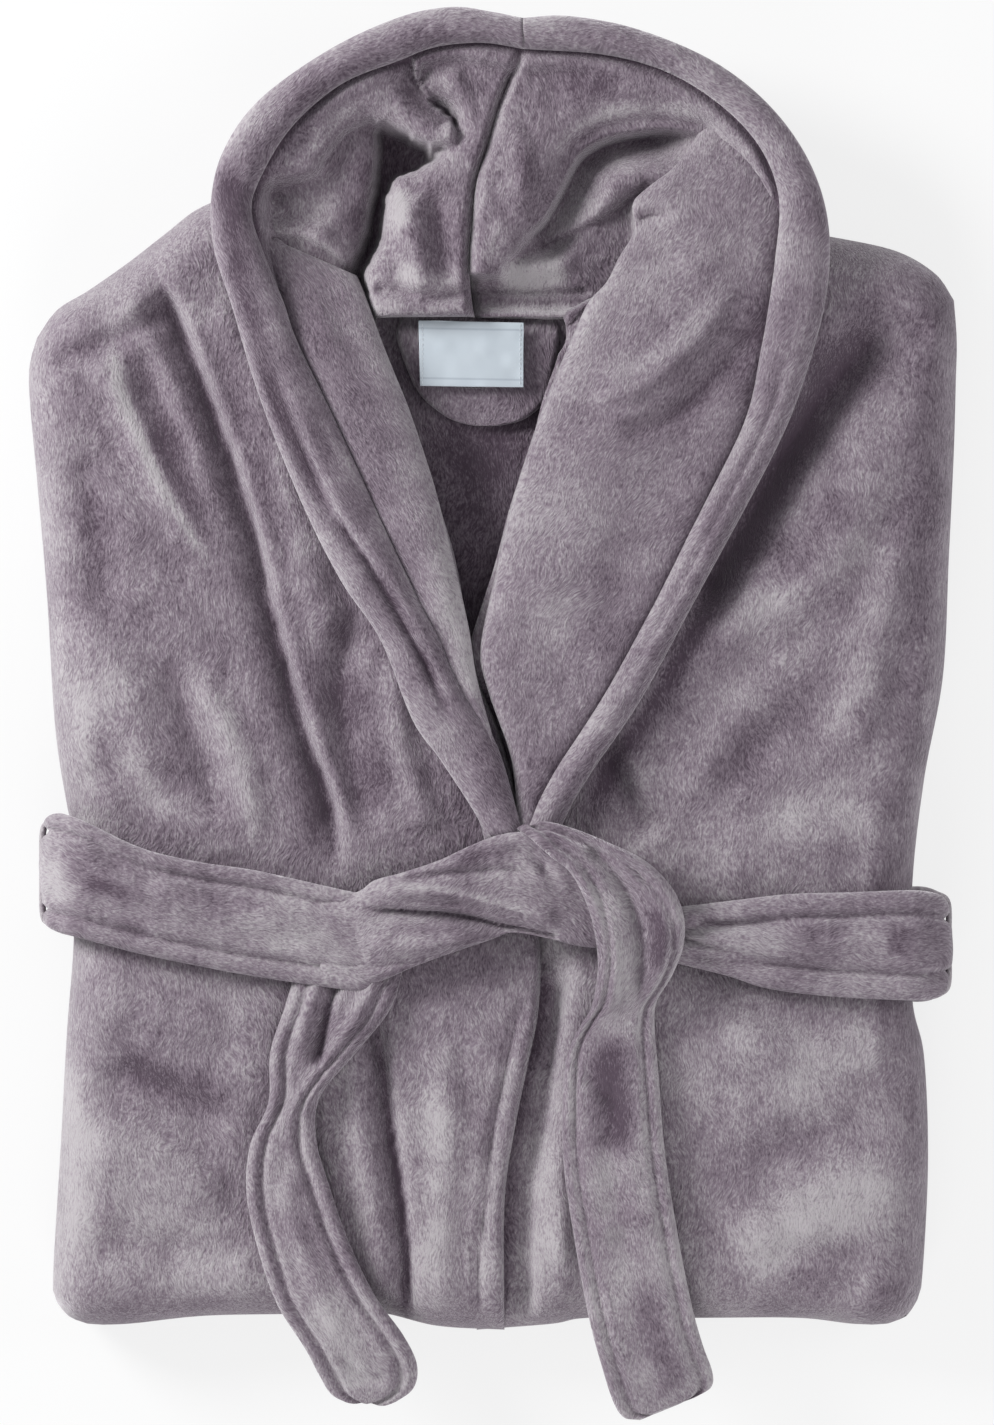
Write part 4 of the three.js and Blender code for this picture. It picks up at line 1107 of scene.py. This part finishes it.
# painted shade: the back is painted darker down its middle, in the neck opening where shade falls
simpleStrip(
    "back_cloth", "back_panel", mirrored(-1, *backEdge), mirrored(1, *backEdge),
    5 * mm, bodyPlush, "plush", 81, much=0.7,
    napAndLightStrokes=napAndLightStrokeLines(([(-2, 180), (-4, 110), (-4, 40)], -1.1, 60, 60, 0.0, 0.05, 0.05)))
for side, word in ((-1, "right"), (1, "left")):
    simpleStrip(f"{word}_sleeve_cloth", f"{word}_sleeve",
                mirrored(side, (198, 186, 18.6), (200, 60, 18.6), (194, -100, 18.6), (190, -221, 18.6)),
                mirrored(side, (22, 150, 18.6), (26, 40, 18.6), (34, -100, 18.6), (40, -221, 18.6)),
                8 * mm, bodyPlush, "plush", 83 + side, much=0.4)
    simpleStrip(f"{word}_cuff_cloth", f"{word}_cuff",
                mirrored(side, (194, -223, 19), (194, -281.5, 19)),
                mirrored(side, (36, -223, 19), (36, -281.5, 19)),
                9 * mm, trimPlush, "plush_trim", 87 + side, much=0.4)
    simpleStrip(f"{word}_pocket_cloth", f"{word}_pocket",
                mirrored(side, (187, -149, 2.2), (187, -289, 2.2)),
                mirrored(side, (39, -149, 2.2), (39, -289, 2.2)),
                3.6 * mm, bodyPlush, "plush", 91 + side, much=0.3, up=-1)
simpleStrip(
    "belt_back_cloth", "belt_back_run",
    metres((-205, -60.5, 2.4), (0, -75, 2.4), (205, -90, 2.4)),
    metres((-205, -110, 2.4), (0, -124, 2.4), (205, -138.5, 2.4)),
    4 * mm, trimPlush, "plush_trim", 95, much=0.3, up=-1)
# painted light: the carriers are painted lighter along their outer faces, which lie in shade
for side, word, y, x in ((-1, "right", -79, 227), (1, "left", -115, 229.8)):
    lower = [(209, y - 27.5), (217, y - 27.5), (223.5, y - 25.5), (x - 0.2, y - 20.5)]
    route = lower + [(x, y)] + [(px, 2 * y - py) for px, py in lower[::-1]]
    simpleStrip(f"{word}_belt_carrier", f"{word}_belt_loop",
                mirrored(side, *[(px, py, 29.5) for px, py in route]),
                mirrored(side, *[(px, py, 20.5) for px, py in route]),
                2.8 * mm, trimPlush, "plush_trim", 97, much=0.15, step=1.2 * mm,
                rim=1.3 * mm,
                napAndLightStrokes=napAndLightStrokeLines(([(side * x, y - 40), (side * x, y + 40)], 1.4, 30, 30, 0.0, 0.0, 0.0)))
simpleStrip(
    "care_label_satin", "care_label", metres((-169.5, -60, 25.2), (-169.5, -5.5, 25.2)),
    metres((-140.5, -60, 25.2), (-140.5, -5.5, 25.2)),
    0.6 * mm, labelSatin, "label_satin", 99, step=2 * mm, rim=0.3 * mm, much=0.05)

simpleStrip(
    "neck_facing_cloth", "neck_facing",
    metres((-45, 210, 24), (-47, 199, 28.5), (-48, 189, 32), (-38, 164, 32), (-24, 151, 32),
           (-12, 146.5, 32), (-5, 146, 32)),
    metres((33, 210, 24), (33.3, 199, 28.5), (33.5, 189, 32), (28, 162, 32), (18, 150.5, 32),
           (6, 146.5, 32), (-4, 146, 32)),
    4.5 * mm, liningPlush, "plush", 101, step=1.6 * mm, much=0.7)


def labelRelief(p):
    x, y = p["x"], p["y"]
    return 0.9 * mm * cloudy(x, y * 0.6, 19 * mm, 5) + 0.4 * mm * cloudy(x, y, 7 * mm, 6)


labelZ = (labelLow[2] + labelHigh[2]) / 2
label = strip(
    "neck_label_satin",
    metres((-37.2, 198.6), (-10, 198), (15.6, 197.4)) @ np.eye(2, 3) + (0, 0, labelZ),
    metres((-36.4, 165.6), (-10, 165.2), (15.6, 165)) @ np.eye(2, 3) + (0, 0, labelZ),
    {"step": 1.1 * mm, "rim": 0.4 * mm, "thick": 0.7 * mm, "relief": labelRelief}, labelSatin)
place(label, "neck_label", "label_satin", "label")

hangerRoute = metres((-22.5, 197), (-23, 176), (-21, 166.5), (-14, 164.6), (-6, 164.6), (1, 166.5),
                     (3, 176), (2.5, 197))
hangerMiddle = metres((-10, 182))[0]
hanger = strip("hanger_tape", raised(hangerRoute, [35.6 * mm] * 2),
               raised(drawnIn(hangerRoute, hangerMiddle, 5.5 * mm), [35.6 * mm] * 2),
               {"step": 1 * mm, "rim": 0.4 * mm, "thick": 1.4 * mm}, loopTape)
place(hanger, "hanger_loop", "loop_tape", "hanger")


# ---- stitches, laid along a line by geometry nodes ----
def stitchTree(material):
    tree = bpy.data.node_groups.new("stitchRow", "GeometryNodeTree")
    tree.is_modifier = True
    tree.interface.new_socket("Geometry", in_out="INPUT", socket_type="NodeSocketGeometry")
    for word in ("Spacing", "Stitch Length", "Thread Radius"):
        tree.interface.new_socket(word, in_out="INPUT", socket_type="NodeSocketFloat")
    tree.interface.new_socket("Geometry", in_out="OUTPUT", socket_type="NodeSocketGeometry")
    nodes = tree.nodes
    start, result = nodes.new("NodeGroupInput"), nodes.new("NodeGroupOutput")
    toCurve = nodes.new("GeometryNodeMeshToCurve")
    points = nodes.new("GeometryNodeCurveToPoints")
    points.mode = "LENGTH"
    thread = nodes.new("GeometryNodeMeshUVSphere")
    for word, value in (("Segments", 6), ("Rings", 5), ("Radius", 1.0)):
        thread.inputs[word].default_value = value
    size = nodes.new("ShaderNodeCombineXYZ")
    onPoints = nodes.new("GeometryNodeInstanceOnPoints")
    realize = nodes.new("GeometryNodeRealizeInstances")
    paint = nodes.new("GeometryNodeSetMaterial")
    paint.inputs["Material"].default_value = material
    for source, given, target, taken in (
            (start, "Geometry", toCurve, "Mesh"), (toCurve, "Curve", points, "Curve"),
            (start, "Spacing", points, "Length"), (start, "Thread Radius", size, "X"),
            (start, "Thread Radius", size, "Y"), (start, "Stitch Length", size, "Z"),
            (points, "Points", onPoints, "Points"), (thread, "Mesh", onPoints, "Instance"),
            (points, "Rotation", onPoints, "Rotation"), (size, "Vector", onPoints, "Scale"),
            (onPoints, "Instances", realize, "Geometry"), (realize, "Geometry", paint, "Geometry"),
            (paint, "Geometry", result, "Geometry")):
        tree.links.new(source.outputs[given], target.inputs[taken])
    return tree


def threadCloth(name, tone):
    s = Shader(name)
    twist = s.noise(s.spot(), 2400.0, 1.0)
    shade = s.mix(twist, colour(*(t * 0.7 for t in tone)), colour(*tone))
    bump = s.bump(0.4, twist * (0.05 * mm))
    return s.finish({"Base Color": shade, "Roughness": 0.6, "Normal": bump, "Sheen Weight": 0.2})


def stitchRow(name, lines, sizes, material, body):
    mesh = bpy.data.meshes.new(name)
    verts, edges = [], []
    for line in lines:
        first = len(verts)
        verts += line.tolist()
        edges += [(i, i + 1) for i in range(first, len(verts) - 1)]
    mesh.from_pydata(verts, edges, [])
    piece = newObject(name, mesh)
    tree = stitchTree(material)
    sew = piece.modifiers.new("stitchRow", "NODES")
    sew.node_group = tree
    for item in tree.interface.items_tree:
        if item.item_type == "SOCKET" and item.in_out == "INPUT" and item.name in sizes:
            sew[item.identifier] = sizes[item.name]
    for polygon in applied(piece).data.polygons:
        polygon.use_smooth = True
    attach(piece, body)
    return piece


def onLabel(x, y):
    px, py = np.array([x]), np.array([y])
    return labelZ + 0.35 * mm + labelRelief({"x": px, "y": py})[0] + 0.15 * mm


paleThread = threadCloth("pale_thread", (0.7, 0.74, 0.78))
stitches = {"Spacing": 2.4 * mm, "Stitch Length": 0.85 * mm, "Thread Radius": 0.2 * mm}
stitchRow(
    "label_stitches",
    [np.array([(x, y, onLabel(x, y)) for y in np.linspace(0.1672, 0.1962, 12)]) for x in (-0.0352, 0.0139)],
    stitches, paleThread, "label")
print("label, loop and stitches ready")

# ---- floor, light and camera ----
stage = {"camera": (0.00225, 0.00175, 3.0), "lens": 149.0, "floor": 6.0, "floorDrop": 0.0005, "glow": 0.78,
         "aim": (0, 0, 0.03), "sky": (0.96, 0.97, 1.0, 1), "skyPower": 0.42}


def floorCloth():
    s = Shader("pale_floor")
    cloud = s.noise(s.spot(), 3.0, 2.0)
    tone = s.mix(cloud, colour(0.14, 0.14, 0.14), colour(0.16, 0.16, 0.16))
    return s.finish({"Base Color": tone, "Roughness": 0.9, "Specular IOR Level": 0.0,
                     "Emission Color": colour(1, 1, 1), "Emission Strength": stage["glow"]})


bpy.ops.mesh.primitive_plane_add(size=stage["floor"], location=(0, 0, -stage["floorDrop"]))
floorPlane = bpy.context.object
floorPlane.name = "floor"
floorPlane.data.materials.append(floorCloth())


lamps = {  # where each stands, how wide it is and its power
    "key": ((-1.6, 0.9, 0.95), 0.8, 54),
    "fill": ((1.5, 0.2, 0.8), 1.0, 10),
    "foot": ((-0.1, -1.6, 0.9), 1.0, 14),
}


def areaLamp(name, at, size, power):
    data = bpy.data.lights.new(name, "AREA")
    data.shape, data.size, data.energy = "DISK", size, power
    lamp = newObject(name, data)
    lamp.location = at
    lamp.rotation_euler = (Vector(stage["aim"]) - Vector(at)).to_track_quat("-Z", "Y").to_euler()


for lampName, (at, size, power) in lamps.items():
    areaLamp(lampName, at, size, power)
world = bpy.data.worlds.new("studio")
world.use_nodes = True
sky = world.node_tree.nodes["Background"]
sky.inputs["Color"].default_value = stage["sky"]
sky.inputs["Strength"].default_value = stage["skyPower"]
bpy.context.scene.world = world
bpy.context.scene.view_settings.view_transform = "Standard"

cameraData = bpy.data.cameras.new("camera")
cameraData.lens = stage["lens"]
camera = newObject("camera", cameraData)
camera.location = stage["camera"]
bpy.context.scene.camera = camera

for lost in [o for o in bpy.context.scene.objects if "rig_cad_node" in o and not o.hide_render]:
    print("still plain:", lost.name)
